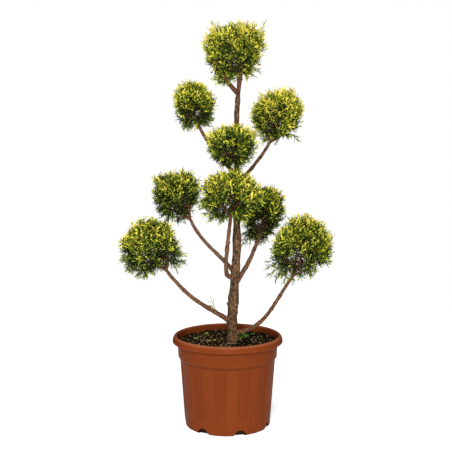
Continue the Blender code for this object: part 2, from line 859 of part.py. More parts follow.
def build_shoot(collection, finish):
    """A small forked green shoot that stands on the lower left bough."""
    bough = next(bough for bough in BOUGHS if bough.name == "lower_left")
    line, girths = bough_line(bough)
    place = SHOOT_PLACE * (len(line) - 1)
    index = int(place)
    foot = line[index] + (line[index + 1] - line[index]) * (place - index)
    along = unit(line[index + 1] - line[index])
    lean = np.asarray(SHOOT_LEAN)
    out = unit(lean - along * (lean @ along))
    start = foot + out * (girths[index] / 2 + GAP)
    top = start + out * SHOOT_LENGTH
    stem = tube_mesh("shoot_stem", [start, (start + top) / 2, top], [SHOOT_DIAMETER] * 3, LIMB_SIDES)
    blades = []
    for share, slant, length in SHOOT_SPRAYS:
        root = start + (top - start) * share - out * SHOOT_SINK
        tip = root + unit(out + along * slant) * length
        blades.append(blade_mesh(*blade_shape(root, tip, length * SHOOT_WIDTH, math.pi / 2)))
    fuse("shoot_lower_left", [stem] + blades, collection, finish)


def main():
    clear_scene()
    plant = new_collection("Leyland cypress topiary")
    cutters = new_collection("Cutters")
    cutters.hide_render = True
    pot_cutters = bpy.data.collections.new("Pot cutters")
    cutters.children.link(pot_cutters)
    build_pot(plant, pot_cutters)
    build_soil(plant)
    build_trunk(plant, material("trunk_bark", (0.115, 0.075, 0.040), 0.9))
    build_boughs(plant, cutters, material("bough_bark", (0.155, 0.075, 0.042), 0.85))
    for ball in BALLS:
        build_ball(ball, plant, material(f"foliage_{ball.name}", (0.19, 0.24, 0.025), 0.8))
    build_shoot(plant, material("young_shoot", (0.25, 0.36, 0.10), 0.7))


main()
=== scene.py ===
"""Dressed model of the potted leyland cypress topiary, built round its fixed frame.

Metres, +Z up, with the origin at the middle of the pot's underside and -Y the front. An azimuth is
measured from the front towards +X. Each ball of foliage grows on from its bough by the frame's own
rule, stem, fork and limbs, which is carried on here to branches, twigs and sprays of scale leaves.
"""

import sys
import logging
import math
from dataclasses import dataclass
from enum import IntEnum
from functools import cache, partialmethod

import bpy
import numpy as np
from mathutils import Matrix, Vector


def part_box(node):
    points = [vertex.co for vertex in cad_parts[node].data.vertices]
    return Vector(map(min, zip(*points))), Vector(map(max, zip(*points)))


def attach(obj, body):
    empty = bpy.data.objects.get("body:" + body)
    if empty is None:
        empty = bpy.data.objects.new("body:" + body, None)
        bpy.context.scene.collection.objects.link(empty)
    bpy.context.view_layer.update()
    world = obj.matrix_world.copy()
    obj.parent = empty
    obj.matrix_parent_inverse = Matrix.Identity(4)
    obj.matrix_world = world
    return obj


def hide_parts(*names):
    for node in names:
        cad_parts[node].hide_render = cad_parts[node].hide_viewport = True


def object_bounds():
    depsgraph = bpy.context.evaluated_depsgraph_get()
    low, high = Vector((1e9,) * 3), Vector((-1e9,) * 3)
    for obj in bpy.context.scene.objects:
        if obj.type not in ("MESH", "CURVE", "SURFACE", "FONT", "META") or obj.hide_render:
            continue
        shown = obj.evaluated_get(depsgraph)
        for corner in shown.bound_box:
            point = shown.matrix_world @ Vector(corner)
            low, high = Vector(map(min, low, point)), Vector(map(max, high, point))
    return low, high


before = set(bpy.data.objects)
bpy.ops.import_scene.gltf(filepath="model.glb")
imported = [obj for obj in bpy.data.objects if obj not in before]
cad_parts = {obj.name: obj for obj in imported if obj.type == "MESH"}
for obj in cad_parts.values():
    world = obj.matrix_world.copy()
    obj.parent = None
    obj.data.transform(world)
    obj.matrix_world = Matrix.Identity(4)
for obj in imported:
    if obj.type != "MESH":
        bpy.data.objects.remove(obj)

Array = np.ndarray
Chance = np.random.Generator
Sprays = tuple[Array, Array, Array]  # origins, directions and lengths
CAD_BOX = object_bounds()
VIEWPOINT = np.array([-0.004, -2.35, 0.784])
ROOT = "root"
MM = 0.001
TAU = math.tau
UP = np.array([0, 0, 1.0])
GOLDEN_TURN = 2.4  # radians
SMOOTH, FACETED = 180.0, 0.0

SPRAY_SEED = 21

log = logging.getLogger("topiary")


# ---------------------------------------------------------------- shapes


def unit(vectors: Array) -> Array:
    """Scales each vector to a length of one."""
    return vectors / np.maximum(np.linalg.norm(vectors, axis=-1, keepdims=True), 1e-12)


def smoothstep(low: float, high: float, values: Array) -> Array:
    """Rises from 0 at low to 1 at high, level at both ends: 3t^2 - 2t^3."""
    t = np.clip((values - low) / (high - low), 0.0, 1.0)
    return t * t * (3 - 2 * t)


def spread(turns: Array, first: Array, second: Array) -> Array:
    """Directions at angles from one axis to another, as cos a first + sin a second."""
    return np.cos(turns)[..., None] * first + np.sin(turns)[..., None] * second


def turned(radius: Array | float, azimuths: Array, height: Array | float) -> Array:
    """Points at a radius and a height, by azimuth."""
    across = radius * np.sin(azimuths)
    return np.stack([across, -radius * np.cos(azimuths), np.broadcast_to(height, across.shape)], -1)


def travelled(line: Array) -> Array:
    """How far along a line each of its points lies."""
    return np.concatenate([[0.0], np.cumsum(np.linalg.norm(np.diff(line, axis=0), axis=1))])


def bezier(controls: Array, count: int) -> Array:
    """Points at even steps of Bezier curves.

    Args:
        controls: control points, (..., K, 3), weighted by the Bernstein polynomials.
        count: how many points each curve gets.

    Returns:
        Points, (..., count, 3).
    """
    order = controls.shape[-2] - 1
    steps = np.linspace(0.0, 1.0, count)
    weights = [math.comb(order, i) * steps**i * (1 - steps) ** (order - i) for i in range(order + 1)]
    return np.einsum("sk,...kd->...sd", np.stack(weights, axis=1), controls)


def smooth_rows(rows: Array, per_span: int) -> Array:
    """A Catmull-Rom curve through every row of numbers, with per_span steps between two rows."""
    padded = np.vstack([2 * rows[0] - rows[1], rows, 2 * rows[-1] - rows[-2]])
    t = (np.arange(per_span) / per_span)[:, None]
    spans = []
    for before, start, end, after in zip(padded, padded[1:], padded[2:], padded[3:]):
        leave, arrive = (end - before) / 2, (after - start) / 2
        from_start = (2 * t**3 - 3 * t**2 + 1) * start + (t**3 - 2 * t**2 + t) * leave
        spans.append(from_start + (3 * t**2 - 2 * t**3) * end + (t**3 - t**2) * arrive)
    return np.vstack([*spans, rows[-1:]])


def ripple(points: Array, size: float, seed: int, octaves: int = 3) -> Array:
    """Soft noise between about -1 and 1: in each octave, nine sine waves in seeded directions.

    Args:
        points: places, (..., 3), in metres.
        size: wavelength of the coarsest waves, in metres.
        seed: picks the waves.
        octaves: how many sets of waves there are, each half as long and as high as the one before.

    Returns:
        One value for each point.
    """
    chance = np.random.default_rng(seed)
    total = np.zeros(points.shape[:-1])
    waves = 9
    for octave in range(octaves):
        ways = unit(chance.normal(size=(waves, 3))) * chance.uniform(0.7, 1.4, (waves, 1))
        phases = chance.uniform(0, TAU, waves)
        angle = points @ ways.T * (TAU / size * 2**octave) + phases
        total += np.sin(angle).sum(-1) / math.sqrt(waves) * 0.5**octave
    return total / 1.6


def even_directions(count: int) -> Array:
    """Directions spread evenly over a ball, each turned from the last by the golden angle."""
    order = np.arange(count) + 0.5
    up = 1 - 2 * order / count
    turn = order * math.pi * (3 - math.sqrt(5))
    across = np.sqrt(1 - up**2)
    return np.stack([across * np.cos(turn), across * np.sin(turn), up], axis=1)


def grid_triangles(rows: int, columns: int, around: bool = True) -> Array:
    """Triangles of a grid whose points run along its rows of columns.

    Args:
        rows: number of rows of points.
        columns: number of points in a row.
        around: whether the last column joins the first.

    Returns:
        Point numbers, (T, 3), facing out where the columns run anticlockwise about the way the rows go.
    """
    last = columns if around else columns - 1
    row, column = np.meshgrid(np.arange(rows - 1), np.arange(last), indexing="ij")
    beside = (column + 1) % columns
    a, b = row * columns + column, row * columns + beside
    c, d = (row + 1) * columns + beside, (row + 1) * columns + column
    return np.concatenate([np.stack(corners, -1).reshape(-1, 3) for corners in ((a, b, c), (a, c, d))])


@dataclass
class Surface:
    """Points and triangles, with the number of a finish for each triangle."""

    points: Array
    triangles: Array
    tints: Array

    @classmethod
    def plain(cls, points: Array, triangles: Array, tint: int = 0) -> "Surface":
        """A surface of one finish."""
        return cls(points.reshape(-1, 3), triangles.reshape(-1, 3), np.full(triangles.size // 3, tint, int))

    @classmethod
    def joined(cls, surfaces: list["Surface"]) -> "Surface":
        """One surface from several, which stay apart in it."""
        shifts = np.cumsum([0] + [len(surface.points) for surface in surfaces[:-1]])
        return cls(
            np.concatenate([surface.points for surface in surfaces]),
            np.concatenate([surface.triangles + shift for surface, shift in zip(surfaces, shifts)]),
            np.concatenate([surface.tints for surface in surfaces]),
        )

    def copies(self, origins: Array, forward: Array, upward: Array, sizes: Array | float) -> Array:
        """The points of many copies, each turned so that its X runs forward and its Z nearly upward.

        Args:
            origins: where each copy's origin goes, (N, 3).
            forward: the way each copy's X runs, (N, 3).
            upward: the side that each copy's Z is on, (N, 3) or one for all.
            sizes: each copy's scale, (N,) or (N, 3) for a scale along each of its own axes.

        Returns:
            Points, (N, V, 3).
        """
        x_axis = unit(forward)
        y_axis = unit(np.cross(upward, x_axis))
        turns = np.stack([x_axis, y_axis, np.cross(x_axis, y_axis)], axis=1)
        scales = np.broadcast_to(np.asarray(sizes, float).reshape(len(origins), -1), (len(origins), 3))
        return np.einsum("nvk,nkd->nvd", self.points[None] * scales[:, None], turns) + origins[:, None]

    def placed(
        self, origins: Array, forward: Array, upward: Array, sizes: Array | float, tints: Array | int
    ) -> "Surface":
        """One surface of many copies, whose finish numbers are (N, T), (N, 1) or one for all."""
        points = self.copies(origins, forward, upward, sizes)
        count, corners = points.shape[:2]
        triangles = self.triangles[None] + (np.arange(count) * corners)[:, None, None]
        every_tint = np.broadcast_to(tints, (count, len(self.triangles)))
        return Surface(points.reshape(-1, 3), triangles.reshape(-1, 3), every_tint.reshape(-1))


def tubes(lines: Array, radii: Array, sides: int, tint: int = 0) -> Surface:
    """Closed round tubes, all with the same number of points, each ring its point plus radius times a turn.

    Args:
        lines: middle lines, (N, P, 3).
        radii: radius at each point, (N, P) or (P,), or (N, P, sides) where it changes round the ring.
        sides: points in a ring.
        tint: finish number.

    Returns:
        One surface of all the tubes, with a fan over each end.
    """
    count, rows, _ = lines.shape
    if radii.ndim < 3:
        radii = np.broadcast_to(radii, (count, rows))[..., None]
    tangent = unit(np.gradient(lines, axis=1))
    aside = np.eye(3)[np.argmin(np.abs(unit(lines[:, -1] - lines[:, 0])), axis=1)]
    normal = unit(np.cross(tangent, aside[:, None]))
    binormal = np.cross(tangent, normal)
    ring = spread(np.arange(sides) * TAU / sides, normal[:, :, None], binormal[:, :, None])
    wall = (lines[:, :, None] + ring * radii[..., None]).reshape(count, rows * sides, 3)
    points = np.concatenate([wall, lines[:, :1], lines[:, -1:]], axis=1)
    around = np.arange(sides)
    beside = (around + 1) % sides
    first, last = rows * sides, rows * sides + 1
    start_cap = np.stack([np.full(sides, first), beside, around], -1)
    end_cap = np.stack([np.full(sides, last), around + last - 1 - sides, beside + last - 1 - sides], -1)
    one = np.concatenate([grid_triangles(rows, sides), start_cap, end_cap])
    return Surface.plain(points, one[None] + (np.arange(count) * points.shape[1])[:, None, None], tint)


def barked_tube(line: Array, radii: Array, sides: int, relief: float, grain: float, seed: int) -> Surface:
    """A tube whose radius follows bark: furrows drawn out along the limb, over broader swellings.

    The noise is read at (cos a, sin a) times the girth, so that it joins up round the ring.

    Args:
        line: middle line, (P, 3).
        radii: radius at each point, (P,).
        sides: points in a ring.
        relief: height of the furrows, in metres.
        grain: width of the furrows, in metres.
        seed: picks the noise.

    Returns:
        The limb's surface.
    """
    turn = np.arange(sides) * TAU / sides
    girth = float(np.mean(radii))
    axes = (np.cos(turn) * girth, np.sin(turn) * girth, travelled(line)[:, None])
    place = np.stack([np.broadcast_to(axis, (len(line), sides)) for axis in axes], axis=-1)
    furrows = ripple(place * (1, 1, 0.2), grain, seed)
    swellings = ripple(place, grain * 7, seed + 1, 2)
    rough = radii[:, None] + relief * (furrows + 0.7 * swellings)
    return tubes(line[None], rough[None], sides)


# ---------------------------------------------------------------- finishes


class Value:
    """A shader socket that adds Math nodes when it is used in an expression."""

    def __init__(self, maker: "Maker", socket: bpy.types.NodeSocket) -> None:
        """Wraps a socket of the maker's node tree."""
        self.maker, self.socket = maker, socket

    def combined(self, operation: str, other: "Value | float", swapped: bool = False) -> "Value":
        """A Math node on this value and another, in this order or swapped."""
        pair = (other, self) if swapped else (self, other)
        return self.maker.node("ShaderNodeMath", {"operation": operation}, dict(enumerate(pair)))

    __add__ = __radd__ = partialmethod(combined, "ADD")
    __mul__ = __rmul__ = partialmethod(combined, "MULTIPLY")
    __sub__ = partialmethod(combined, "SUBTRACT")
    __rsub__ = partialmethod(combined, "SUBTRACT", swapped=True)


class Maker:
    """Makes one material and the nodes in it."""

    def __init__(self, name: str) -> None:
        """Starts a material with a Principled shader."""
        self.material = bpy.data.materials.new(name)
        self.material.use_nodes = True
        self.tree = self.material.node_tree
        self.shader = self.tree.nodes["Principled BSDF"]

    def fill(self, node: bpy.types.Node, inputs: dict) -> None:
        """Sets or links a node's inputs, by name or number."""
        for key, given in inputs.items():
            if isinstance(given, Value):
                self.tree.links.new(given.socket, node.inputs[key])
            elif isinstance(given, tuple) and node.inputs[key].type == "RGBA":
                node.inputs[key].default_value = (*given, 1.0)
            else:
                node.inputs[key].default_value = given

    def node(self, kind: str, settings: dict, inputs: dict, output: int | str = 0) -> Value:
        """Adds a node.

        Args:
            kind: the node's type.
            settings: its properties, set first.
            inputs: values or links of its sockets.
            output: which output to hand back.

        Returns:
            The output, for use in an expression.
        """
        made = self.tree.nodes.new(kind)
        for key, setting in settings.items():
            setattr(made, key, setting)
        self.fill(made, inputs)
        return Value(self, made.outputs[output])

    def place(self, scale: tuple = (1, 1, 1)) -> Value:
        """Object coordinates, stretched by a scale along each axis."""
        here = self.node("ShaderNodeTexCoord", {}, {}, "Object")
        return self.node("ShaderNodeMapping", {}, {"Vector": here, "Scale": scale})

    def noise(self, place: Value, scale: float, detail: float = 3.0, rough: float = 0.55) -> Value:
        """Noise between 0 and 1, with scale features to a metre."""
        inputs = {"Vector": place, "Scale": scale, "Detail": detail, "Roughness": rough}
        return self.node("ShaderNodeTexNoise", {}, inputs)

    def axis(self, vector: Value, name: str) -> Value:
        """A vector's X, Y or Z."""
        return self.node("ShaderNodeSeparateXYZ", {}, {"Vector": vector}, name)

    def between(self, value: Value, low: float, high: float) -> Value:
        """How far a value has come from low to high, from 0 to 1."""
        return self.node("ShaderNodeMapRange", {}, {"Value": value, "From Min": low, "From Max": high})

    def ramp(self, value: Value, *stops: tuple) -> Value:
        """A colour by a value's place between stops, which are (place, colour) pairs."""
        made = self.node("ShaderNodeValToRGB", {}, {"Fac": value})
        elements = made.socket.node.color_ramp.elements
        while len(elements) < len(stops):
            elements.new(0.5)
        for element, (place, colour) in zip(elements, stops):
            element.position = place
            element.color = (*colour, 1.0)
        return made

    def above(self, value: Value, low: float, high: float) -> Value:
        """A grey level that rises from 0 to 1 as the value goes from low to high."""
        return self.ramp(value, (low, (0, 0, 0)), (high, (1, 1, 1)))

    def below(self, value: Value, low: float, high: float) -> Value:
        """A grey level that falls from 1 to 0 as the value goes from low to high."""
        return self.ramp(value, (low, (1, 1, 1)), (high, (0, 0, 0)))

    def mix(self, share: "Value | float", first: "Value | tuple", second: "Value | tuple") -> Value:
        """A blend of two colours."""
        return self.node("ShaderNodeMix", {"data_type": "RGBA"}, {0: share, 6: first, 7: second}, 2)

    def bump(self, height: Value, distance: float, strength: float = 0.9) -> Value:
        """A normal bent by a height."""
        return self.node("ShaderNodeBump", {}, {"Height": height, "Distance": distance, "Strength": strength})

    def finished(self, **inputs: "Value | float | tuple") -> bpy.types.Material:
        """Sets the shader's inputs, named with _ for a space, and hands the material back."""
        self.fill(self.shader, {key.replace("_", " "): given for key, given in inputs.items()})
        return self.material


@dataclass(frozen=True)
class Leaf:
    """A plain leaf colour, dealt out spray by spray."""

    name: str
    colour: tuple
    roughness: float = 0.62
    gloss: float = 0.08

    def dress(self) -> bpy.types.Material:
        """The material."""
        maker = Maker(self.name)
        return maker.finished(Base_Color=self.colour, Roughness=self.roughness, Specular_IOR_Level=self.gloss)


@dataclass(frozen=True)
class Bark:
    """Bark with dark furrows, pale crested ridges, and duller patches, which spread further over its left
    side as painted shade.
    """

    name: str
    furrow: tuple
    ridge: tuple
    crest: tuple
    patch_and_shade: tuple
    grain: float

    def dress(self) -> bpy.types.Material:
        """The material: colour, roughness and bump all follow the same drawn out furrows."""
        maker = Maker(self.name)
        furrows = maker.noise(maker.place((1, 1, 0.6)), self.grain, 5, 0.7)
        patches = maker.noise(maker.place((1, 1, 0.6)), self.grain / 3)
        fleck = maker.noise(maker.place(), self.grain * 2.2, 2)
        facing = maker.node("ShaderNodeNewGeometry", {}, {}, "Normal")
        # Painted shade: the duller patches spread further where the surface faces left, darkening that side
        # of each limb.
        patches_and_left_shade = patches - maker.axis(facing, "X") * 0.18
        base = maker.mix(maker.above(patches_and_left_shade, 0.46, 0.60) * 0.85, self.ridge, self.patch_and_shade)
        crested = maker.mix(maker.above(furrows, 0.52, 0.66), base, self.crest)
        cracked = maker.mix(maker.below(furrows, 0.39, 0.50), crested, self.furrow)
        dark = maker.mix(maker.below(fleck, 0.30, 0.44) * 0.6, cracked, self.furrow)
        return maker.finished(
            Base_Color=dark,
            Roughness=0.98 - 0.2 * furrows,
            Normal=maker.bump(furrows + 0.4 * fleck, 2.0 * MM),
            Specular_IOR_Level=0.1,
        )


@dataclass(frozen=True)
class Plastic:
    """Moulded pot plastic: faint clouds, a painted highlight along the rim's top edge, dust near the foot,
    bands of painted shade under the ledge and the rim, and a satin grain.
    """

    name: str
    colour: tuple
    cloud: tuple
    dust_and_highlight: tuple = (0.30, 0.10, 0.045)
    highlight_from: float = 0.2255
    shaded_edges: tuple = (0.1735, 0.2125)
    painted_shade: tuple = (0.030, 0.006, 0.001)

    def dress(self) -> bpy.types.Material:
        """The material, whose dust thins out with height, whose top edge is lightened as a painted highlight,
        and which is darkened just under the ledge and the rim as painted shade.
        """
        maker = Maker(self.name)
        here = maker.place()
        clouds = maker.noise(maker.place((1, 1, 0.35)), 14, 4)
        streaks = maker.noise(maker.place((1, 1, 0.05)), 90)
        scuffs = maker.noise(maker.place((1, 1, 0.6)), 160, 2, 0.7)
        grain = maker.noise(here, 1400, 2)
        height = maker.axis(here, "Z")
        low = maker.between(height, 0.09, 0.0)
        # Painted highlight: the band along the rim's top edge is lightened, as if lit from above; the same
        # pale colour also serves as dust near the foot.
        top = maker.between(height, self.highlight_from, self.highlight_from + 4 * MM)
        colour = maker.mix(maker.above(clouds, 0.35, 0.7) * 0.8, self.colour, self.cloud)
        rim_highlit = maker.mix(top * (0.2 + 0.6 * clouds), colour, self.dust_and_highlight)
        dusty = maker.above(scuffs, 0.5, 0.72) * (low * 0.06 + 0.05)
        # Painted shade: dark bands just under the ledge and under the rim, where the overhangs cast shade.
        shares = ((-0.0045, 0.0), (-0.0012, 1.0), (0.0006, 1.0), (0.0012, 0.0))
        stops = [(edge + gap, (share,) * 3) for edge in self.shaded_edges for gap, share in shares]
        painted_shade = maker.ramp(height, *stops) * 0.55
        return maker.finished(
            Base_Color=maker.mix(painted_shade, maker.mix(dusty, rim_highlit, self.dust_and_highlight), self.painted_shade),
            Roughness=0.32 + 0.14 * clouds + 0.10 * streaks,
            Normal=maker.bump(grain + 0.8 * streaks, 0.12 * MM, 0.5),
            Specular_IOR_Level=0.02,
        )


@dataclass(frozen=True)
class Earth:
    """Damp compost, from black to brown with pale fibres."""

    name: str
    black: tuple
    brown: tuple
    fibre: tuple

    def dress(self) -> bpy.types.Material:
        """The material, with a coarse and a fine grain."""
        maker = Maker(self.name)
        here = maker.place()
        grains = maker.noise(here, 260, 5, 0.7)
        fine = maker.noise(here, 900, 3, 0.6)
        fibres = maker.noise(maker.place((0.25, 1, 1)), 700, 2)
        colour = maker.ramp(grains, (0.38, self.black), (0.62, self.brown))
        fibred = maker.mix(maker.above(fibres, 0.66, 0.74) * 0.6, colour, self.fibre)
        return maker.finished(
            Base_Color=fibred,
            Roughness=0.98 - 0.2 * fine,
            Normal=maker.bump(grains + 0.5 * fine, 2.0 * MM),
            Specular_IOR_Level=0.0,
        )


# Leaf tints from the dark inside of a ball to its sunlit tips, and what lies on the compost. The shade and
# deep tints stand for painted shade inside the balls; the gold tints are the tips' own colour, dealt out more
# on the top and front as painted light.
Tint = IntEnum("Tint", "SHADE DEEP GREEN LIME GOLD STRAW", start=0)
Crumb = IntEnum("Crumb", "BLACK BROWN TAN MOSS WEED PALE_WEED FALLEN_GOLD FALLEN_TAN", start=0)
LEAF_COLOURS = (
    (0.010, 0.016, 0.004),
    (0.033, 0.060, 0.007),
    (0.120, 0.170, 0.013),
    (0.350, 0.385, 0.027),
    (0.680, 0.580, 0.055),
    (0.760, 0.600, 0.115),
)
LEAVES = tuple(Leaf(f"leaf_{tint.name.lower()}", colour) for tint, colour in zip(Tint, LEAF_COLOURS))


def bark(name: str, grain: float, *thousandths: tuple) -> Bark:
    """A bark, whose furrow, ridge, crest and patch colours are given in thousandths; the patch colour also
    paints shade on the left side.
    """
    return Bark(name, *(tuple(share / 1000 for share in colour) for colour in thousandths), grain)


TRUNK_BARK = bark("trunk_bark", 240, (18, 11, 5), (124, 58, 25), (268, 146, 81), (52, 40, 17))
BOUGH_BARK = bark("bough_bark", 300, (32, 14, 7), (150, 66, 31), (245, 130, 74), (100, 53, 27))
TWIG_BARK = bark("twig_bark", 500, (35, 16, 9), (130, 55, 27), (180, 90, 46), (95, 45, 24))
POT_PLASTIC = Plastic("terracotta_plastic", (0.125, 0.0243, 0.0053), (0.143, 0.0292, 0.0063))
# The recess finish is a little darker than the rest of the pot: painted shade in the flutes.
POT_RECESS_SHADE = Plastic("recess_painted_shade", (0.118, 0.0224, 0.0048), (0.135, 0.0268, 0.0058))
# The near-black finish of the pot's floor is painted shade inside the pot, seen through the notches.
POT_INSIDE_SHADE = Plastic("underside_painted_shade", (0.010, 0.003, 0.001), (0.014, 0.004, 0.001), (0.02, 0.01, 0.005))
COMPOST = Earth("compost", (0.003, 0.002, 0.001), (0.022, 0.013, 0.006), (0.16, 0.10, 0.05))
CRUMBS = (
    Leaf("crumb_black", (0.004, 0.003, 0.002), 0.95, 0.0),
    Leaf("crumb_brown", (0.035, 0.021, 0.010), 0.95, 0.0),
    Leaf("crumb_tan", (0.330, 0.215, 0.110), 0.90, 0.0),
    Leaf("crumb_moss", (0.120, 0.140, 0.025), 0.90, 0.0),
    Leaf("weed_green", (0.130, 0.330, 0.030), 0.55),
    Leaf("weed_pale", (0.300, 0.420, 0.060), 0.60),
    Leaf("fallen_gold", (0.560, 0.440, 0.070), 0.75),
    Leaf("fallen_tan", (0.480, 0.290, 0.130), 0.80),
)


@cache
def dressed(finish: Leaf | Bark | Plastic | Earth) -> bpy.types.Material:
    """A finish's material, made once."""
    return finish.dress()


def add_piece(
    name: str, surface: Surface, finishes: tuple, replaced: tuple = (), sharp: float = SMOOTH
) -> None:
    """Puts a surface into the scene as one piece that rides on the plant.

    Args:
        name: the piece's name.
        surface: its points, triangles and finish numbers.
        finishes: the finishes that those numbers count through.
        replaced: the frame's nodes that it stands for.
        sharp: faces that meet at more than this many degrees keep a hard edge.
    """
    mesh = bpy.data.meshes.new(name)
    mesh.vertices.add(len(surface.points))
    mesh.vertices.foreach_set("co", surface.points.astype(np.float32).reshape(-1))
    mesh.loops.add(surface.triangles.size)
    mesh.loops.foreach_set("vertex_index", surface.triangles.astype(np.int32).reshape(-1))
    mesh.polygons.add(len(surface.triangles))
    mesh.polygons.foreach_set("loop_start", np.arange(0, surface.triangles.size, 3, dtype=np.int32))
    mesh.polygons.foreach_set("material_index", surface.tints.astype(np.int32))
    mesh.update(calc_edges=True)
    for finish in finishes:
        mesh.materials.append(dressed(finish))
    if sharp > FACETED:
        mesh.shade_smooth()
    if FACETED < sharp < SMOOTH:
        mesh.set_sharp_from_angle(angle=math.radians(sharp))
    piece = bpy.data.objects.new(name, mesh)
    bpy.context.scene.collection.objects.link(piece)
    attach(piece, ROOT)
    if replaced:
        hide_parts(*replaced)
    low, high = surface.points.min(0), surface.points.max(0)
    log.info("%s: %d triangles, %s to %s m", name, len(surface.triangles), low.round(3), high.round(3))


# ---------------------------------------------------------------- pot and compost


@dataclass
class Pot:
    """Ten litre nursery pot: rolled rim, collar, ledge, fluted body and notched foot."""

    rim_radius: float
    height: float
    wall: float = 0.003
    rim_drop: float = 0.017
    rim_inner_radius: float = 0.128
    collar_radius: float = 0.1275
    collar_height: float = 0.037
    collar_taper: float = 0.0025
    ledge_depth: float = 0.0035
    body_radius: float = 0.121
    base_radius: float = 0.108
    floor_height: float = 0.0004
    flutes: int = 12
    flute_offset: float = -9.5
    flute_width: float = 0.028
    flute_top: float = 0.172
    flute_foot: float = 0.010
    flute_fade: float = 0.05
    flute_depth: float = 0.0024
    flute_edge: float = 0.0011
    notches: int = 7
    notch_offset: float = 16.8
    notch_width: float = 0.027
    notch_crown: float = 0.55
    notch_height: float = 0.0138
    notch_inner_radius: float = 0.094
    columns: int = 180
    longest_step: float = 0.011

    @property
    def ledge(self) -> float:
        """Height of the ledge under the collar."""
        return self.height - self.rim_drop - self.collar_height

    @property
    def notch_halves(self) -> tuple[float, float]:
        """Half widths of a notch at its foot and at its crown."""
        return self.notch_width * (2 - self.notch_crown) / 2, self.notch_width * self.notch_crown / 2

    def wall_radius(self, height: float) -> float:
        """Outer radius of the plain body at a height."""
        return self.base_radius + (self.body_radius - self.base_radius) * height / self.ledge

    def corners(self) -> Array:
        """The wall's half section as (radius, height, rounding), up its outer side and down its inner."""
        rim, top, inner, wall = self.rim_radius, self.height, self.rim_inner_radius, self.wall
        lip, collar_foot = top - self.rim_drop, self.collar_radius - self.collar_taper
        under_ledge = self.ledge - self.ledge_depth
        return np.array(
            [
                (self.base_radius - 0.004, 0.0, 0.0015),
                (self.wall_radius(0.0025), 0.0025, 0.0015),
                (self.wall_radius(self.flute_top), self.flute_top, 0.0),
                (self.body_radius, under_ledge, 0.0012),
                (collar_foot, self.ledge, 0.0012),
                (self.collar_radius, lip, 0.0006),
                (rim - 0.0012, lip, 0.0008),
                (rim, lip + 0.0016, 0.0009),
                (rim - 0.0012, top - 0.008, 0.003),
                (rim - 0.0040, top - 0.0018, 0.0025),
                (rim - 0.0075, top, 0.0018),
                (inner + 0.002, top, 0.0015),
                (inner, top - 0.003, 0.0015),
                (collar_foot - wall, self.ledge, 0.001),
                (self.body_radius - wall, under_ledge, 0.001),
                (self.base_radius - wall, 0.0, 0.0),
            ]
        )

    def section(self) -> Array:
        """The corners rounded by short quadratic Bezier arcs, with long runs cut into short steps."""
        corners = self.corners()
        places, rounding = corners[:, :2], corners[:, 2]
        points = [places[:1]]
        for before, here, after, round_off in zip(places, places[1:], places[2:], rounding[1:]):
            start, end = (here + unit(other - here) * round_off for other in (before, after))
            points.append(bezier(np.stack([start, here, end]), 5) if round_off else here[None])
        path = np.concatenate([*points, places[-1:]])
        runs = []
        for start, end in zip(path, path[1:]):
            steps = max(1, round(np.linalg.norm(end - start) / self.longest_step))
            runs.append(start + (end - start) * np.linspace(0, 1, steps + 1)[:-1, None])
        return np.concatenate([*runs, path[-1:]])

    def turns(self) -> Array:
        """Azimuths of the columns: even ones, and pairs at the edges of each flute and notch."""
        even = np.arange(self.columns) * TAU / self.columns
        edges = self.flute_width / 2 - self.flute_edge * np.array([1.0, 0.5, 0.0])
        foot, crown = self.notch_halves
        extra = []
        for offset, count, across, radius in (
            (self.flute_offset, self.flutes, np.concatenate([-edges, edges]), self.body_radius),
            (self.notch_offset, self.notches, np.array([-foot, -crown, crown, foot]), self.base_radius),
        ):
            middles = math.radians(offset) + np.arange(count) * TAU / count
            extra.append((middles[:, None] + across / radius).reshape(-1))
        every = np.sort(np.concatenate([even, np.concatenate(extra) % TAU]))
        return every[np.concatenate([[True], np.diff(every) > 0.0004])]

    def nearest(self, turns: Array, offset: float, count: int) -> Array:
        """Angle from the nearest of count evenly spaced azimuths, the first at offset degrees."""
        pitch = TAU / count
        return np.abs((turns - math.radians(offset) + pitch / 2) % pitch - pitch / 2)

    def notch_lift(self, turns: Array) -> Array:
        """How far the wall's foot is cut up at an azimuth: a trapezoid over each notch."""
        foot, crown = self.notch_halves
        across = self.nearest(turns, self.notch_offset, self.notches) * self.base_radius
        return self.notch_height * np.clip((foot - across) / (foot - crown), 0, 1)

    def build(self) -> None:
        """Makes the wall and the floor as one piece."""
        section, turns = self.section(), self.turns()
        radius, height = (np.repeat(column[:, None], len(turns), axis=1) for column in section.T)
        outer = np.arange(len(section))[:, None] < np.argmax(section[:, 0])
        across = self.nearest(turns, self.flute_offset, self.flutes)[None] * radius
        recess = smoothstep(self.flute_width / 2, self.flute_width / 2 - self.flute_edge, across)
        recess *= smoothstep(self.flute_foot, self.flute_foot + self.flute_fade, height)
        recess *= height < self.flute_top - 0.0004
        recess = np.where(outer, recess, 0)
        lift = self.notch_lift(turns)
        place = turned(radius - self.flute_depth * recess, turns, np.maximum(height, lift))
        wall = Surface.plain(np.concatenate([place, place[:1]]), grid_triangles(len(section) + 1, len(turns)))
        sunk = np.concatenate([recess, np.zeros((1, len(turns)))]).reshape(-1)
        # Triangles deep in a flute take the slightly darker recess finish: painted shade.
        wall.tints = (sunk[wall.triangles].min(1) > 0.3).astype(int)
        unnotched = self.base_radius - self.wall + 0.001
        edge = np.where(lift > self.notch_height / 2, self.notch_inner_radius, unnotched)
        rings = [(0.0, self.floor_height), (1.0, self.floor_height), (1.0, self.wall), (0.0, self.wall)]
        floor_points = np.concatenate([turned(edge * share, turns, up) for share, up in rings])
        # The floor takes the near-black finish: painted shade inside the pot.
        floor = Surface.plain(floor_points, grid_triangles(len(rings), len(turns)), 2)
        finishes = (POT_PLASTIC, POT_RECESS_SHADE, POT_INSIDE_SHADE)
        add_piece("pot_shell", Surface.joined([wall, floor]), finishes, ("pot",), 35)


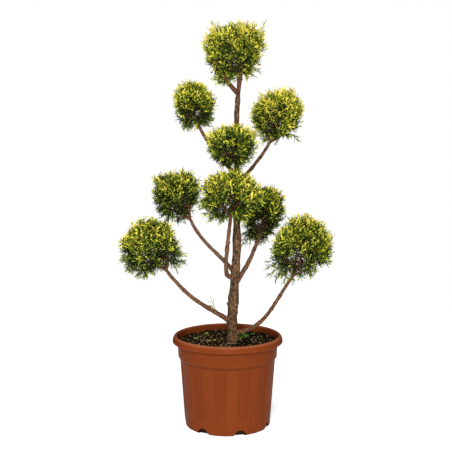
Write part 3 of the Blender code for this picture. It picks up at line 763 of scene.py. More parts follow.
@dataclass
class Compost:
    """The pot's filling: a crumbly top with chips, moss, weeds and fallen sprays on it."""

    pot: Pot
    height: float
    edge_drop: float = 0.002
    clearance: float = 0.0004
    crumbs: int = 3600
    chips: int = 260
    flecks: int = 420
    columns: int = 200
    rings: int = 70
    level_seed: int = 31
    litter_seed: int = 41
    weed_seed: int = 43

    @property
    def edge_radius(self) -> float:
        """Radius of the top at the wall."""
        return self.pot.collar_radius - self.pot.wall - 0.0012

    def on_top(self, across: Array | float, along: Array | float) -> Array:
        """Points of the top: lumpy, a little mounded at the trunk and lower at the wall."""
        across, along = np.asarray(across), np.asarray(along)
        out = np.hypot(across, along) / self.edge_radius
        place = np.stack([across, along, np.zeros_like(across)], axis=-1)
        lumps = 0.0014 * ripple(place, 0.055, self.level_seed, 2)
        lumps = lumps + 0.0007 * ripple(place, 0.012, self.level_seed + 1)
        level = self.height - 0.0008 - self.edge_drop * out**2 + lumps * (1 - 0.6 * np.exp(-((out * 5) ** 2)))
        return np.stack([across, along, level], -1)

    def build(self) -> None:
        """Makes the filling, then what lies on it."""
        self.build_filling()
        self.build_litter()
        self.build_weeds()

    def build_filling(self) -> None:
        """A turned solid whose top is a polar grid lifted to the crumbly level."""
        pot, turns = self.pot, np.arange(self.columns) * TAU / self.columns
        foot = inset = pot.wall + self.clearance
        side = (
            (0.0, foot),
            (pot.wall_radius(foot) - inset, foot),
            (pot.body_radius - inset, pot.ledge - pot.ledge_depth),
            (pot.collar_radius - pot.collar_taper - inset, pot.ledge),
        )
        rings = [turned(radius, turns, up) for radius, up in side]
        for radius in np.linspace(self.edge_radius, 0.0, self.rings):
            rings.append(self.on_top(radius * np.sin(turns), -radius * np.cos(turns)))
        filling = Surface.plain(np.concatenate(rings), grid_triangles(len(rings), self.columns))
        add_piece("compost_filling", filling, (COMPOST,), ("soil",), 60)

    def scattered(self, count: int, chance: Chance) -> Array:
        """Places spread evenly over the top, clear of the wall."""
        radius = np.sqrt(chance.uniform(0.01, 1, count)) * (self.edge_radius - 0.003)
        turn = chance.uniform(0, TAU, count)
        return self.on_top(radius * np.cos(turn), radius * np.sin(turn))

    def build_litter(self) -> None:
        """Crumbs as uneven octahedra, bark chips as flat ones, and flecks of moss."""
        chance = np.random.default_rng(self.litter_seed)
        corners = np.array([(1, 0, 0), (0, 1, 0), (-1, 0, 0), (0, -1, 0), (0, 0, 1), (0, 0, -1)], float)
        ring = np.arange(4)
        beside = (ring + 1) % 4
        faces = np.stack([ring, beside, np.full(4, 4)], -1), np.stack([beside, ring, np.full(4, 5)], -1)
        kinds = []
        for count, low, high, flat, tints in (
            (self.crumbs, 0.0005, 0.0030, 0.8, (Crumb.BLACK,) * 6 + (Crumb.BROWN,) * 3 + (Crumb.TAN,)),
            (self.chips, 0.0018, 0.0050, 0.3, (Crumb.BLACK,) * 2 + (Crumb.BROWN,) * 2 + (Crumb.TAN,)),
            (self.flecks, 0.0006, 0.0016, 0.5, (Crumb.MOSS, Crumb.MOSS, Crumb.TAN, Crumb.FALLEN_GOLD)),
        ):
            lump = Surface.plain(corners * chance.uniform(0.7, 1.3, corners.shape), np.concatenate(faces))
            size = chance.uniform(low, high, (count, 1))
            size = size * chance.uniform((1, 0.5, flat * 0.7), (1.5, 1, flat), (count, 3))
            ways = unit(chance.normal(size=(count, 3)) * (1, 1, 0.4))
            upward = UP + chance.normal(size=(count, 3)) * 0.25
            dealt = chance.choice(tints, (count, 1))
            kinds.append(lump.placed(self.scattered(count, chance), ways, upward, size, dealt))
        add_piece("compost_litter", Surface.joined(kinds), CRUMBS, sharp=FACETED)

    def build_weeds(self) -> None:
        """A rosette of oval leaves behind the trunk, small seedlings and fallen sprays."""
        chance = np.random.default_rng(self.weed_seed)
        leaf, weed, pale, parts = oval_leaf(), Crumb.WEED, Crumb.PALE_WEED, []
        for across, along, leaves, size, tints in (
            (0.030, 0.032, 22, 0.014, (weed, weed, weed, pale)),
            (0.047, 0.026, 14, 0.010, (weed, weed, pale)),
            (0.066, 0.052, 5, 0.006, (weed, pale)),
            (-0.055, 0.060, 6, 0.006, (pale, Crumb.MOSS)),
            (-0.082, 0.010, 5, 0.005, (weed, pale)),
        ):
            turn = np.arange(leaves) * GOLDEN_TURN + chance.uniform(0, 1)
            ways = np.stack([np.cos(turn), np.sin(turn), np.linspace(0.9, 0.2, leaves)], -1)
            origins = self.on_top(across, along) + ways * (0.002, 0.002, 0.003)
            sizes = size * chance.uniform(0.7, 1.1, leaves)
            parts.append(leaf.placed(origins, ways, UP, sizes, chance.choice(tints, (leaves, 1))))
        fallen = (
            (-0.048, -0.012, 0.4, 0.020, Crumb.FALLEN_GOLD),
            (-0.040, -0.020, 2.2, 0.016, Crumb.FALLEN_GOLD),
            (0.030, 0.004, 1.1, 0.014, Crumb.FALLEN_GOLD),
            (0.012, -0.022, -0.4, 0.013, Crumb.FALLEN_TAN),
            (-0.020, 0.050, 2.9, 0.014, Crumb.MOSS),
            (0.078, -0.010, 0.9, 0.015, Crumb.MOSS),
            (-0.070, 0.045, 0.2, 0.012, Crumb.FALLEN_TAN),
        )
        for (across, along, turn, size, tint), spray in zip(fallen, spray_shapes(self.weed_seed + 1)):
            foot = self.on_top(across, along) + (0, 0, 0.0016)
            way = np.array([math.cos(turn), math.sin(turn), 0.05])
            parts.append(spray.placed(foot[None], way[None], UP, size, tint))
        add_piece("compost_weeds", Surface.joined(parts), CRUMBS)


# ---------------------------------------------------------------- leaves


def kites(bases: Array, tips: Array, widths: Array, fold: float) -> Surface:
    """Leaf segments as kites folded along the middle, widest at two fifths of their length.

    Args:
        bases: where each starts, (N, 3).
        tips: where each ends, (N, 3).
        widths: full width of each, (N,).
        fold: how far the sides drop, as a share of the width.

    Returns:
        One surface, with two triangles to a kite.
    """
    along = tips - bases
    aside = unit(np.cross(UP, along)) * widths[:, None] / 2
    middle = bases + along * 0.42 - UP * (widths * fold)[:, None]
    points = np.stack([bases, middle - aside, tips, middle + aside], axis=1)
    first = (np.arange(len(bases)) * 4)[:, None]
    return Surface.plain(points, np.concatenate([first + (0, 1, 2), first + (0, 2, 3)]))


def blades(bases: Array, tips: Array, widths: Array) -> Surface:
    """Flat pointed segments, one triangle each: widest at the base, pointed at the tip."""
    aside = unit(np.cross(UP, tips - bases)) * widths[:, None] / 2
    return Surface.plain(np.stack([bases + aside, bases - aside, tips], axis=1), np.arange(len(bases) * 3))


def spray_shapes(seed: int, fingers: int = 5, count: int = 12) -> list[Surface]:
    """Small ragged sprays of scale leaves, one unit long along X.

    A curved stem of three chained kites carries short fingers on both sides in turn, at 35 to 60
    degrees, shorter towards the tip. A triangle's tint number rises from -1 at the foot of the stem to
    3 at its tip, and from about 1 to 2 along the fingers, with a random part.

    Args:
        seed: picks the small differences.
        fingers: how many fingers a spray has.
        count: how many shapes to make.

    Returns:
        The shapes.
    """
    chance = np.random.default_rng(seed)
    shapes = []
    for _ in range(count):
        bend = chance.uniform(-0.45, 0.45)
        stops = np.array([0.0, 0.34, 0.68, 1.0])
        line = np.stack([stops - 0.25 * bend**2 * stops**3, bend * stops**2, np.zeros(4)], -1)
        share = np.linspace(0.18, 0.80, fingers)
        side = np.where(np.arange(fingers) % 2, 1, -1)
        length = 0.16 * (1 - share) + 0.13 + chance.uniform(-0.02, 0.06, fingers)
        angle = side * np.radians(chance.uniform(35, 60, fingers)) + 2 * bend * share
        foot = np.stack([share, bend * share**2, np.zeros(fingers)], -1)
        tips = foot + np.stack([np.cos(angle), np.sin(angle), np.zeros(fingers)], -1) * length[:, None]
        ends, starts = line[1:] + (line[1:] - line[:-1]) * 0.12, line[:-1].copy()
        lift = chance.uniform(0.02, 0.25)
        for places in (starts, ends, foot, tips):
            places[:, 2] = lift * places[:, 0] ** 2 - 0.5 * np.abs(places[:, 1]) ** 1.5
        stem = kites(starts, ends, np.array([0.08, 0.12, 0.13]), 0.32)
        stem.tints = np.array([-1, 1, 3] * 2)
        side_shoots = blades(foot, tips, np.full(fingers, 0.125))
        side_shoots.tints = np.rint(0.5 + share * 2.0 + chance.uniform(-1.8, 1.8, fingers)).astype(int)
        shapes.append(Surface.joined([stem, side_shoots]))
    return shapes


def oval_leaf() -> Surface:
    """A small oval leaf along X, one unit long: half width 0.32 sin(pi x^0.8), cupped across its middle."""
    run = np.linspace(0, 1, 7)
    half = 0.32 * np.sin(math.pi * run**0.8)
    arch = 0.25 * run - 0.45 * run**2
    rows = [np.stack([run, side * half, arch + 0.18 * abs(side) * half], -1) for side in (-1.0, 0.0, 1.0)]
    return Surface.plain(np.stack(rows), grid_triangles(3, len(run), False))


# ---------------------------------------------------------------- trunk and boughs


@dataclass
class Trunk:
    """The trunk, from its flat cut in the compost to its fork under the top ball.

    A row is (height, lean, diameter), and a stub is (height, azimuth, length, diameter).
    """

    foot: float
    seed: int = 51
    rows: tuple = (
        (0.205, 0.013, 0.044), (0.220, 0.013, 0.0345), (0.234, 0.0125, 0.0280), (0.268, 0.011, 0.0255),
        (0.334, 0.016, 0.024), (0.415, 0.021, 0.021), (0.475, 0.0224, 0.0202), (0.611, 0.023, 0.0138),
        (0.772, 0.0230, 0.0130), (0.826, 0.0252, 0.0120),
    )
    stubs: tuple = (
        (0.308, 265, 0.0050, 0.0070), (0.327, 275, 0.0030, 0.0060), (0.313, 80, 0.0030, 0.0060),
        (0.286, 95, 0.0025, 0.0055), (0.455, 85, 0.0025, 0.0045), (0.650, 80, 0.0035, 0.0040),
    )

    def line(self, per_span: int) -> tuple[Array, Array]:
        """The trunk's middle line and diameters, above its flat cut."""
        height, lean, diameters = smooth_rows(np.array(self.rows), per_span).T
        points = np.stack([lean, np.zeros(len(lean)), height], axis=1)
        kept = height >= self.foot - 0.004
        return points[kept], diameters[kept]

    def at(self, height: float) -> tuple[float, float]:
        """The trunk's lean and diameter at a height."""
        points, diameters = self.line(8)
        lean, girth = (np.interp(height, points[:, 2], column) for column in (points[:, 0], diameters))
        return float(lean), float(girth)

    def build(self) -> None:
        """The barked trunk with knots round its pruned stubs."""
        points, diameters = self.line(34)
        wander = ripple(points, 0.09, self.seed, 2)[:, None] * (0.0006, 0.0006, 0)
        surface = barked_tube(points + wander, diameters / 2, 44, 0.0010, 0.011, self.seed + 1)
        for height, azimuth, _, diameter in self.stubs:
            self.swell(surface, height, azimuth, diameter)
        stubs = [self.stub(*measures, self.seed + 9 + i) for i, measures in enumerate(self.stubs)]
        limb = Surface.joined([surface, *stubs])
        add_piece("trunk_bark", limb, (TRUNK_BARK,), ("trunk",), 60)

    def swell(self, surface: Surface, height: float, azimuth: float, diameter: float) -> None:
        """Raises a knot round a stub: a Gaussian bump, as high as a third of the stub's diameter."""
        lean, girth = self.at(height)
        out = turned(1, np.radians(azimuth), 0)
        knot = np.array([lean, 0, height]) + out * girth / 2
        near = np.exp(-((np.linalg.norm(surface.points - knot, axis=1) / diameter) ** 2))
        surface.points += near[:, None] * out * diameter * 0.33

    def stub(self, height: float, azimuth: float, length: float, diameter: float, seed: int) -> Surface:
        """A short pruned stump with a ragged end."""
        lean, girth = self.at(height)
        root = np.array([lean, 0, height - 0.002])
        out = unit(turned(1, np.radians(azimuth), 0.35))
        line = root + out * np.linspace(girth / 2 - 0.005, girth / 2 + length, 9)[:, None]
        return barked_tube(line, np.linspace(0.62, 0.40, 9) * diameter, 14, 0.0005, 0.004, seed)


@dataclass(frozen=True)
class Bough:
    """A limb from the trunk's middle to its tip, as the control points of one smooth bend."""

    name: str
    route: Array
    diameter: float
    tip_diameter: float
    seed: int
    collar: float = 0.35
    collar_reach: float = 0.007
    knuckles: int = 7
    knuckle_reach: float = 0.0028

    def line(self, count: int) -> tuple[Array, Array]:
        """Middle line and diameters at even steps."""
        return bezier(self.route, count), np.linspace(self.diameter, self.tip_diameter, count)

    def build(self, trunk: Trunk) -> None:
        """The barked limb, from just inside the trunk, with a collar there and small knuckles along it."""
        points, diameters = self.line(150)
        lean, girth = trunk.at(self.route[0, 2])
        kept = np.hypot(points[:, 0] - lean, points[:, 1]) > girth / 2 - 0.003
        points, diameters = points[kept], diameters[kept]
        run = travelled(points)
        chance = np.random.default_rng(self.seed)
        swollen = 1 + self.collar * np.exp(-run / self.collar_reach)
        knuckled = np.ones(len(run))
        for place in chance.uniform(0.02, run[-1] - 0.01, self.knuckles):
            knuckled += chance.uniform(0.05, 0.16) * np.exp(-(((run - place) / self.knuckle_reach) ** 2))
        wander = ripple(points, 0.06, self.seed, 2)[:, None] * chance.normal(size=3) * 0.0005
        wander *= np.minimum(run, run[-1] - run)[:, None] / run[-1] * 2
        radii = diameters / 2 * swollen * knuckled
        surface = barked_tube(points + wander, radii, 22, 0.00040, 0.006, self.seed + 1)
        replaced = (f"bough_{self.name}",)
        add_piece(f"bough_bark_{self.name}", surface, (BOUGH_BARK,), replaced, 60)


def bough(name: str, seed: int, diameter: float, tip_diameter: float, *route: tuple) -> Bough:
    """A bough, with its control points in whole millimetres."""
    return Bough(name, np.array(route) / 1000, diameter, tip_diameter, seed)


BOUGHS = (
    bough("lower_right", 71, 0.0115, 0.008, (14, 0, 236), (97, 0, 239), (117, -25, 323), (158, -28, 379)),
    bough("lower_left", 72, 0.0125, 0.0084, (12, 0, 262), (-59, -23, 314), (-86, -41, 319), (-145, -52, 397)),
    bough("middle_left", 73, 0.0105, 0.0078, (19, 0, 388), (-13, 21, 429), (-64, 31, 457), (-91, 39, 513)),
    bough("middle_centre", 74, 0.0116, 0.0088, (18, 0, 380), (-9, -16, 377), (-9, -26, 389), (6, -78, 527)),
    bough("middle_right", 75, 0.0122, 0.0088, (14, 0, 359), (49, 14, 394), (63, 50, 430), (83, 70, 474)),
    bough("upper_right", 76, 0.01, 0.0072, (23, 0, 613), (52, 9, 642), (80, 15, 673), (102, 24, 709)),
    bough("upper_left", 77, 0.0095, 0.0072, (22, 0, 638), (-15, 21, 666), (-45, 39, 706), (-69, 52, 749)),
    bough("upper_centre", 78, 0.008, 0.0062, (23, 0, 604), (16, -23, 623), (4, -47, 642), (2, -68, 666)),
)


# ---------------------------------------------------------------- foliage


@dataclass
class Limbs:
    """The trunk's and every bough's middle line, which leaves keep off."""

    lines: list[tuple[Array, float]]

    def clear(self, points: Array, margin: float) -> Array:
        """Whether each point is further than margin from every limb's bark."""
        free = np.ones(len(points), bool)
        for line, radius in self.lines:
            starts, spans = line[:-1], np.diff(line, axis=0)
            reach = points[:, None] - starts[None]
            share = np.clip((reach * spans).sum(-1) / (spans**2).sum(-1), 0, 1)
            gap = np.linalg.norm(reach - share[..., None] * spans, axis=-1).min(1)
            free &= gap > radius + margin
        return free


def flat(origins: Array, ways: Array, lengths: Array) -> Sprays:
    """Sprays in one row, from a table of them."""
    return origins.reshape(-1, 3), ways.reshape(-1, 3), lengths.reshape(-1)


@dataclass(frozen=True)
class Ball:
    """A clipped mass of foliage.

    The outline holds its reach at even angles in the front view, anticlockwise from the right, as a
    share of an even shape's. A limb is the point that it bends by and the point where it ends. A stray
    is an angle in the front view and its reach as a share of the outline's. The tone moves every
    spray's tint towards gold or, below zero, towards green.
    """

    name: str
    seed: int
    tone: float
    middle: Array
    width: float
    height: float
    narrowing: float
    outline: Array
    limbs: Array
    strays: Array
    branches: int = 34
    tuft_pitch: float = 0.0074
    sprays_each: int = 6
    inner_reach: float = 0.86
    stray_reach: float = 2.0
    screen_width: float = 0.0055
    screen_foot_width: float = 0.003
    screened_share: float = 0.72
    tip_clearance: float = 0.0015
    middle_clearance: float = 0.001
    margin: float = 0.015
    proud: float = 0.005
    fork_length: float = 0.012
    limb_root: float = 0.002
    limb_share: float = 0.66
    limb_taper: float = 0.55
    stoutness: tuple = (1.6, 1.35, 1.15, 1.0)
    branch_radii: tuple = (0.0014, 0.0008)
    twig_radii: tuple = (0.0008, 0.0004)
    stray_radii: tuple = (0.0007, 0.0003)
    spray_length: float = 0.0190

    def outline_share(self, place: Array) -> Array:
        """How far the outline reaches beyond the even shape in a place's direction.

        It is read from the table by the angle in the front view, and fades to 1 with the square of the
        share of the direction that points to the front or the back.
        """
        angle = np.arctan2(place[..., 2], place[..., 0]) % TAU
        stops = np.arange(len(self.outline) + 1) * TAU / len(self.outline)
        reach = np.interp(angle, stops, (*self.outline, self.outline[0]))
        sideways = 1 - (place[..., 1] / np.maximum(np.linalg.norm(place, axis=-1), 1e-9)) ** 2
        return (1 + (reach - 1) * sideways)[..., None]

    def into_space(self, place: Array) -> Array:
        """Takes points of the unit ball to the mass's space, narrower below: girth times 1 + narrowing z."""
        girth = self.width / 2 * (1 + self.narrowing * place[..., 2:3])
        grown = np.concatenate([place[..., :2] * girth, place[..., 2:3] * self.height / 2], axis=-1)
        return self.middle + grown * self.outline_share(place)

    def out_of_space(self, points: Array) -> Array:
        """How far out each point lies, as a share of the way to the outline: about into_space reversed."""
        local = points - self.middle
        up = local[..., 2:3] / (self.height / 2)
        girth = self.width / 2 * (1 + self.narrowing * np.clip(up, -1, 1))
        place = np.concatenate([local[..., :2] / girth, up], axis=-1)
        return np.linalg.norm(place, axis=-1) / self.outline_share(place)[..., 0]

    def stem(self, trunk: Trunk) -> tuple[Array, Array, float]:
        """Start, direction and diameter of the stem: at its bough's tip or the trunk's fork."""
        carrier = next((limb for limb in BOUGHS if limb.name == self.name), None)
        points, girths = carrier.line(60) if carrier else trunk.line(12)
        return points[-1], unit(points[-1] - points[-2]), float(girths[-1])

    def limb_lines(self, fork: Array, direction: Array) -> Array:
        """The limbs, each from the fork by its knee to its end."""
        roots = np.broadcast_to(fork - direction * self.limb_root, (len(self.limbs), 3))
        knees, ends = self.limbs.swapaxes(0, 1)
        return bezier(np.stack([roots, knees, knees, ends], axis=1), 16)

    def grown(self, parents: Array, ends: Array, earliest: float, count: int, drop: float) -> Array:
        """Children from the nearest parent to each end.

        Each child leaves its parent where the parent is nearest to a point below the end and closer
        to the ball's middle, starts along the parent and bends to its end.

        Args:
            parents: lines, (M, P, 3).
            ends: where the children end, (N, 3).
            earliest: the first share of a parent that may carry a child.
            count: points to a child.
            drop: how far below the end that point is, in metres.

        Returns:
            Lines, (N, count, 3).
        """
        first = int(parents.shape[1] * earliest)
        joints = parents[:, first:].reshape(-1, 3)
        ways = np.gradient(parents, axis=1)[:, first:].reshape(-1, 3)
        sought = ends - unit(ends - self.middle) * drop - UP * (drop * 0.8)
        picked = np.argmin(np.linalg.norm(joints[None] - sought[:, None], axis=-1), axis=1)
        root = joints[picked]
        span = np.linalg.norm(ends - root, axis=1, keepdims=True)
        knee = root + unit(unit(ways[picked]) + unit(ends - root) * 1.3) * span * 0.45
        return bezier(np.stack([root, knee, ends], axis=1), count)

    def tuft_ways(self, chance: Chance) -> Array:
        """Nearly even directions for the tufts, a pitch apart on the outline and thinner on the underside."""
        ways = even_directions(round(math.pi * self.width * self.height / self.tuft_pitch**2))
        kept = chance.uniform(size=len(ways)) > 0.6 * smoothstep(0.35, -0.5, ways[:, 2])
        return unit(ways + chance.normal(size=ways.shape) * 0.06)[kept]

    def growth(self, ways: Array, chance: Chance) -> Array:
        """The way each tuft grows: out and up, and less steeply on the underside."""
        lift = 0.60 - 0.45 * smoothstep(-0.15, -0.9, ways[:, 2])
        return unit(ways + lift[:, None] * UP + chance.normal(size=ways.shape) * 0.32)

    def sprays(self, feet: Array, tips: Array, chance: Chance) -> Sprays:
        """Pointed tufts of sprays.

        The first spray of a tuft runs from its foot to its tip. The others stand off it at 22 to 60
        degrees, each turned from the last by the golden angle and starting further down.

        Args:
            feet: the end of each tuft's twig, (N, 3).
            tips: the tip of each tuft, (N, 3).
            chance: the ball's random draws.

        Returns:
            Origins, directions and lengths.
        """
        count, each = len(feet), self.sprays_each
        leader = np.linalg.norm(tips - feet, axis=1)[:, None]
        way = unit(tips - feet)
        aside = unit(np.cross(way, (0.31, 0.94, 0.14)))
        rank = np.broadcast_to(np.arange(each), (count, each))
        side = (rank > 0) * 1.0
        turn = rank * GOLDEN_TURN + chance.uniform(0, TAU, (count, 1))
        angle = side * np.radians(chance.uniform(22, 60, (count, each)))
        ways = spread(angle, way[:, None], spread(turn, aside[:, None], np.cross(way, aside)[:, None]))
        ahead = side * (0.55 - 0.65 * rank / each) * leader
        origins = feet[:, None] + way[:, None] * ahead[..., None]
        share = 1 - side * chance.uniform(0.32, 0.50, (count, each))
        return flat(origins, ways, leader * share)

    def stray_twigs(self, limbs: Array, chance: Chance) -> Array:
        """Thin twigs that carry the sprays which stand out of the outline."""
        turns, reach = self.strays.T
        ways = unit(np.stack([np.cos(turns), chance.uniform(-0.3, 0.1, len(turns)), np.sin(turns)], -1))
        short = self.spray_length * 0.85 / (self.width / 2)
        return self.grown(limbs, self.into_space(ways * (reach - short)[:, None]), 0.5, 9, 0.03)

    def stray_sprays(self, strays: Array, chance: Chance) -> Sprays:
        """A plume on each stray twig: four sprays at every point from its third, the last along the twig."""
        origins = strays[:, np.repeat(np.arange(2, strays.shape[1]), 4)]
        way = unit(strays[:, -1] - strays[:, -3])[:, None]
        ways = unit(way + chance.normal(size=origins.shape) * 0.42)
        ways[:, -1] = way[:, 0]
        lengths = self.spray_length * chance.uniform(0.55, 0.95, origins.shape[:2])
        lengths[:, -1] = self.spray_length
        return flat(origins, ways, lengths)

    def inner(self, twigs: Array, chance: Chance) -> Sprays:
        """Sprays lower down on the twigs, which fill the inside; their depth gives them near black tints,
        which are painted shade.
        """
        count = len(twigs)
        picked = chance.integers(0, count, count)
        place = chance.integers(1, twigs.shape[1] - 1, count)
        way = unit(twigs[picked, -1] - twigs[picked, 0])
        ways = unit(way + chance.normal(size=way.shape) * 0.5)
        return twigs[picked, place], ways, self.spray_length * chance.uniform(0.8, 1.2, count)

    def levels(self, origins: Array, tips: Array, chance: Chance) -> Array:
        """Each spray's tint level: higher up, further out, nearer the front, on the side away from the trunk
        and in its clump's favour it is more golden. The fall to near black deep inside is painted shade, and
        the rise towards the top and the front is painted light over the tips' own gold.
        """
        local = (tips - self.middle) / (np.array([self.width, self.width, self.height]) / 2)
        out = np.minimum(self.out_of_space(tips), 1.1)
        # Painted shade: sprays that stop short of the outline get darker tints, more steeply higher up;
        # painted light: higher and nearer the front is lighter.
        rim = 4.8 + 3.0 * smoothstep(-0.5, 0.7, local[:, 2])
        light = 1.00 + 0.80 * smoothstep(-0.6, 0.9, local[:, 2]) + rim * (out - 0.90) - 0.15 * local[:, 1]
        light += 1.1 * self.middle[0] * local[:, 0]
        clump = 0.55 * ripple(origins, 0.035, self.seed, 2)
        return light + clump + self.tone + chance.normal(size=len(tips)) * 0.95

    def screened(self, points: Array, lines: Array, width: float) -> Array:
        """Whether each point stands, seen from VIEWPOINT, in front of a limb's lower part."""
        away, beyond = points[:, None] - VIEWPOINT, lines[:, :-3].reshape(-1, 3) - VIEWPOINT
        depth = beyond[:, 1:2]
        gap = (away[..., [0, 2]] / away[..., 1:2] - beyond[:, [0, 2]] / depth) * depth
        return ((np.hypot(gap[..., 0], gap[..., 1]) < width) & (away[..., 1] < beyond[:, 1])).any(1)

    def build(self, trunk: Trunk, bare: Limbs, shapes: list[Surface]) -> None:
        """Grows the ball's wood and its sprays, as two pieces.

        Args:
            trunk: the trunk that the top ball stands on.
            bare: the limbs that leaves keep off.
            shapes: the spray shapes to deal out.
        """
        chance = np.random.default_rng(self.seed)
        start, direction, diameter = self.stem(trunk)
        fork = start + direction * self.fork_length
        limbs = self.limb_lines(fork, direction)
        inside = even_directions(self.branches) * chance.uniform(0.45, 0.6, (self.branches, 1))
        branches = self.grown(limbs, self.into_space(inside), 0.35, 9, 0.016)
        ways = self.tuft_ways(chance)
        far = chance.uniform(size=len(ways)) ** 2.5
        reach = 0.84 + 0.30 * far + 0.07 * ripple(ways, 0.8, self.seed + 50, 2)
        tips = self.into_space(ways * reach[:, None])
        lengths = self.spray_length * (chance.uniform(0.95, 1.15, len(ways)) + 0.45 * far)
        feet = tips - self.growth(ways, chance) * lengths[:, None]
        wood = np.concatenate([branches[:, -6:], bezier(limbs[:, -4:], 6)])
        twigs = self.grown(wood, feet, 0.2, 4, 0.010)
        strays = self.stray_twigs(limbs, chance)
        stem = np.linspace(start - (fork - start) * 0.2, fork, 8)[None]
        self.build_wood(diameter, stem, limbs, branches, twigs, strays)
        tufts, inner = self.sprays(feet, tips, chance), self.inner(twigs, chance)
        plumes = self.stray_sprays(strays, chance)
        origins, leaf_ways, lengths = (np.concatenate(parts) for parts in zip(tufts, inner, plumes))
        furthest = (np.repeat(reach, self.sprays_each) + 0.02, np.full(len(twigs), self.inner_reach))
        limits = np.concatenate([*furthest, np.full(len(plumes[0]), self.stray_reach)])
        middles = origins + leaf_ways * lengths[:, None] * 0.6
        bare_front = self.screened(middles, limbs, self.screen_width)
        bare_front |= self.screened(origins, limbs, self.screen_foot_width)
        kept = ~bare_front | (chance.uniform(size=len(origins)) > self.screened_share)
        every = (origins, leaf_ways, lengths, limits)
        self.build_leaves(*(values[kept] for values in every), bare, shapes, chance)

    def build_wood(
        self, diameter: float, stem: Array, limbs: Array, branches: Array, twigs: Array, strays: Array
    ) -> None:
        """The stem, limbs, branches and twigs as one piece of tapering tubes."""
        girth = diameter * self.limb_share
        taper = np.linspace(girth / 2, girth / 2 * self.limb_taper, limbs.shape[1])
        parts = [
            tubes(stem, np.linspace(diameter, girth * 1.25, 8) / 2, 16),
            tubes(limbs, np.outer(self.stoutness, taper), 12),
        ]
        for lines, radii, sides in (
            (branches, self.branch_radii, 6),
            (twigs, self.twig_radii, 3),
            (strays, self.stray_radii, 5),
        ):
            parts.append(tubes(lines, np.linspace(*radii, lines.shape[1]), sides))
        add_piece(f"twigs_{self.name}", Surface.joined(parts), (TWIG_BARK,))

    def build_leaves(
        self,
        origins: Array,
        ways: Array,
        lengths: Array,
        limits: Array,
        bare: Limbs,
        shapes: list[Surface],
        chance: Chance,
    ) -> None:
        """Deals the spray shapes out over the origins.

        A spray that would reach out of the outline or of the frame's solid is shortened, and one that
        would lie on the trunk or a bough is left out.
        """
        tips = origins + ways * lengths[:, None]
        over = np.clip((self.out_of_space(tips) - limits) / 0.32, 0, 0.6)
        lengths = lengths * (1 - over)
        tips = origins + ways * lengths[:, None]
        level = self.levels(origins, tips, chance)
        slope = 0.62 + 0.30 * smoothstep(-0.6, 0.5, (tips[:, 2] - self.middle[2]) / self.height * 2)
        rolls = unit(chance.normal(size=origins.shape) + 0.9 * unit(tips - self.middle))
        kind = chance.integers(0, len(shapes), len(origins))
        kept = bare.clear(tips, self.tip_clearance)
        kept &= bare.clear((origins + tips) / 2, self.middle_clearance)
        low, high = (np.array(corner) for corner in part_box(f"foliage_{self.name}"))
        low = np.maximum(low - self.margin, CAD_BOX[0])
        high = np.minimum(high + self.margin, np.asarray(CAD_BOX[1]) + UP * self.proud)
        parts = []
        for number, shape in enumerate(shapes):
            here = np.flatnonzero(kept & (kind == number))
            for _ in range(4):
                points = shape.copies(origins[here], ways[here], rolls[here], lengths[here])
                outside = ((points < low) | (points > high)).any((1, 2))
                lengths[here[outside]] *= 0.8
            here = here[~outside]
            # Within a spray the tint falls from tip to foot, more steeply higher up: partly the tips' own
            # gold, partly painted shade where the foot lies deeper in the ball.
            dealt = level[here][:, None] + (shape.tints[None] - 1.7) * slope[here][:, None]
            tints = np.clip(np.rint(dealt), Tint.SHADE, Tint.STRAW).astype(int)
            parts.append(shape.placed(origins[here], ways[here], rolls[here], lengths[here], tints))
        add_piece(f"sprays_{self.name}", Surface.joined(parts), LEAVES, (f"foliage_{self.name}",))


def ball(
    name: str, seed: int, tone: float, middle: tuple, size: tuple, narrowing: float, *tables: tuple
) -> Ball:
    """A ball from whole millimetres, degrees and percentages: tables of its outline, limbs and strays."""
    outline, limbs, strays = (np.array(table) for table in tables)
    bends = limbs.reshape(-1, 2, 3) / 1000
    reaches = np.stack([np.radians(strays[:, 0]), strays[:, 1] / 100], -1)
    measures = (np.array(middle) / 1000, *(np.array(size) / 1000), narrowing)
    return Ball(name, seed, tone, *measures, outline / 100, bends, reaches)


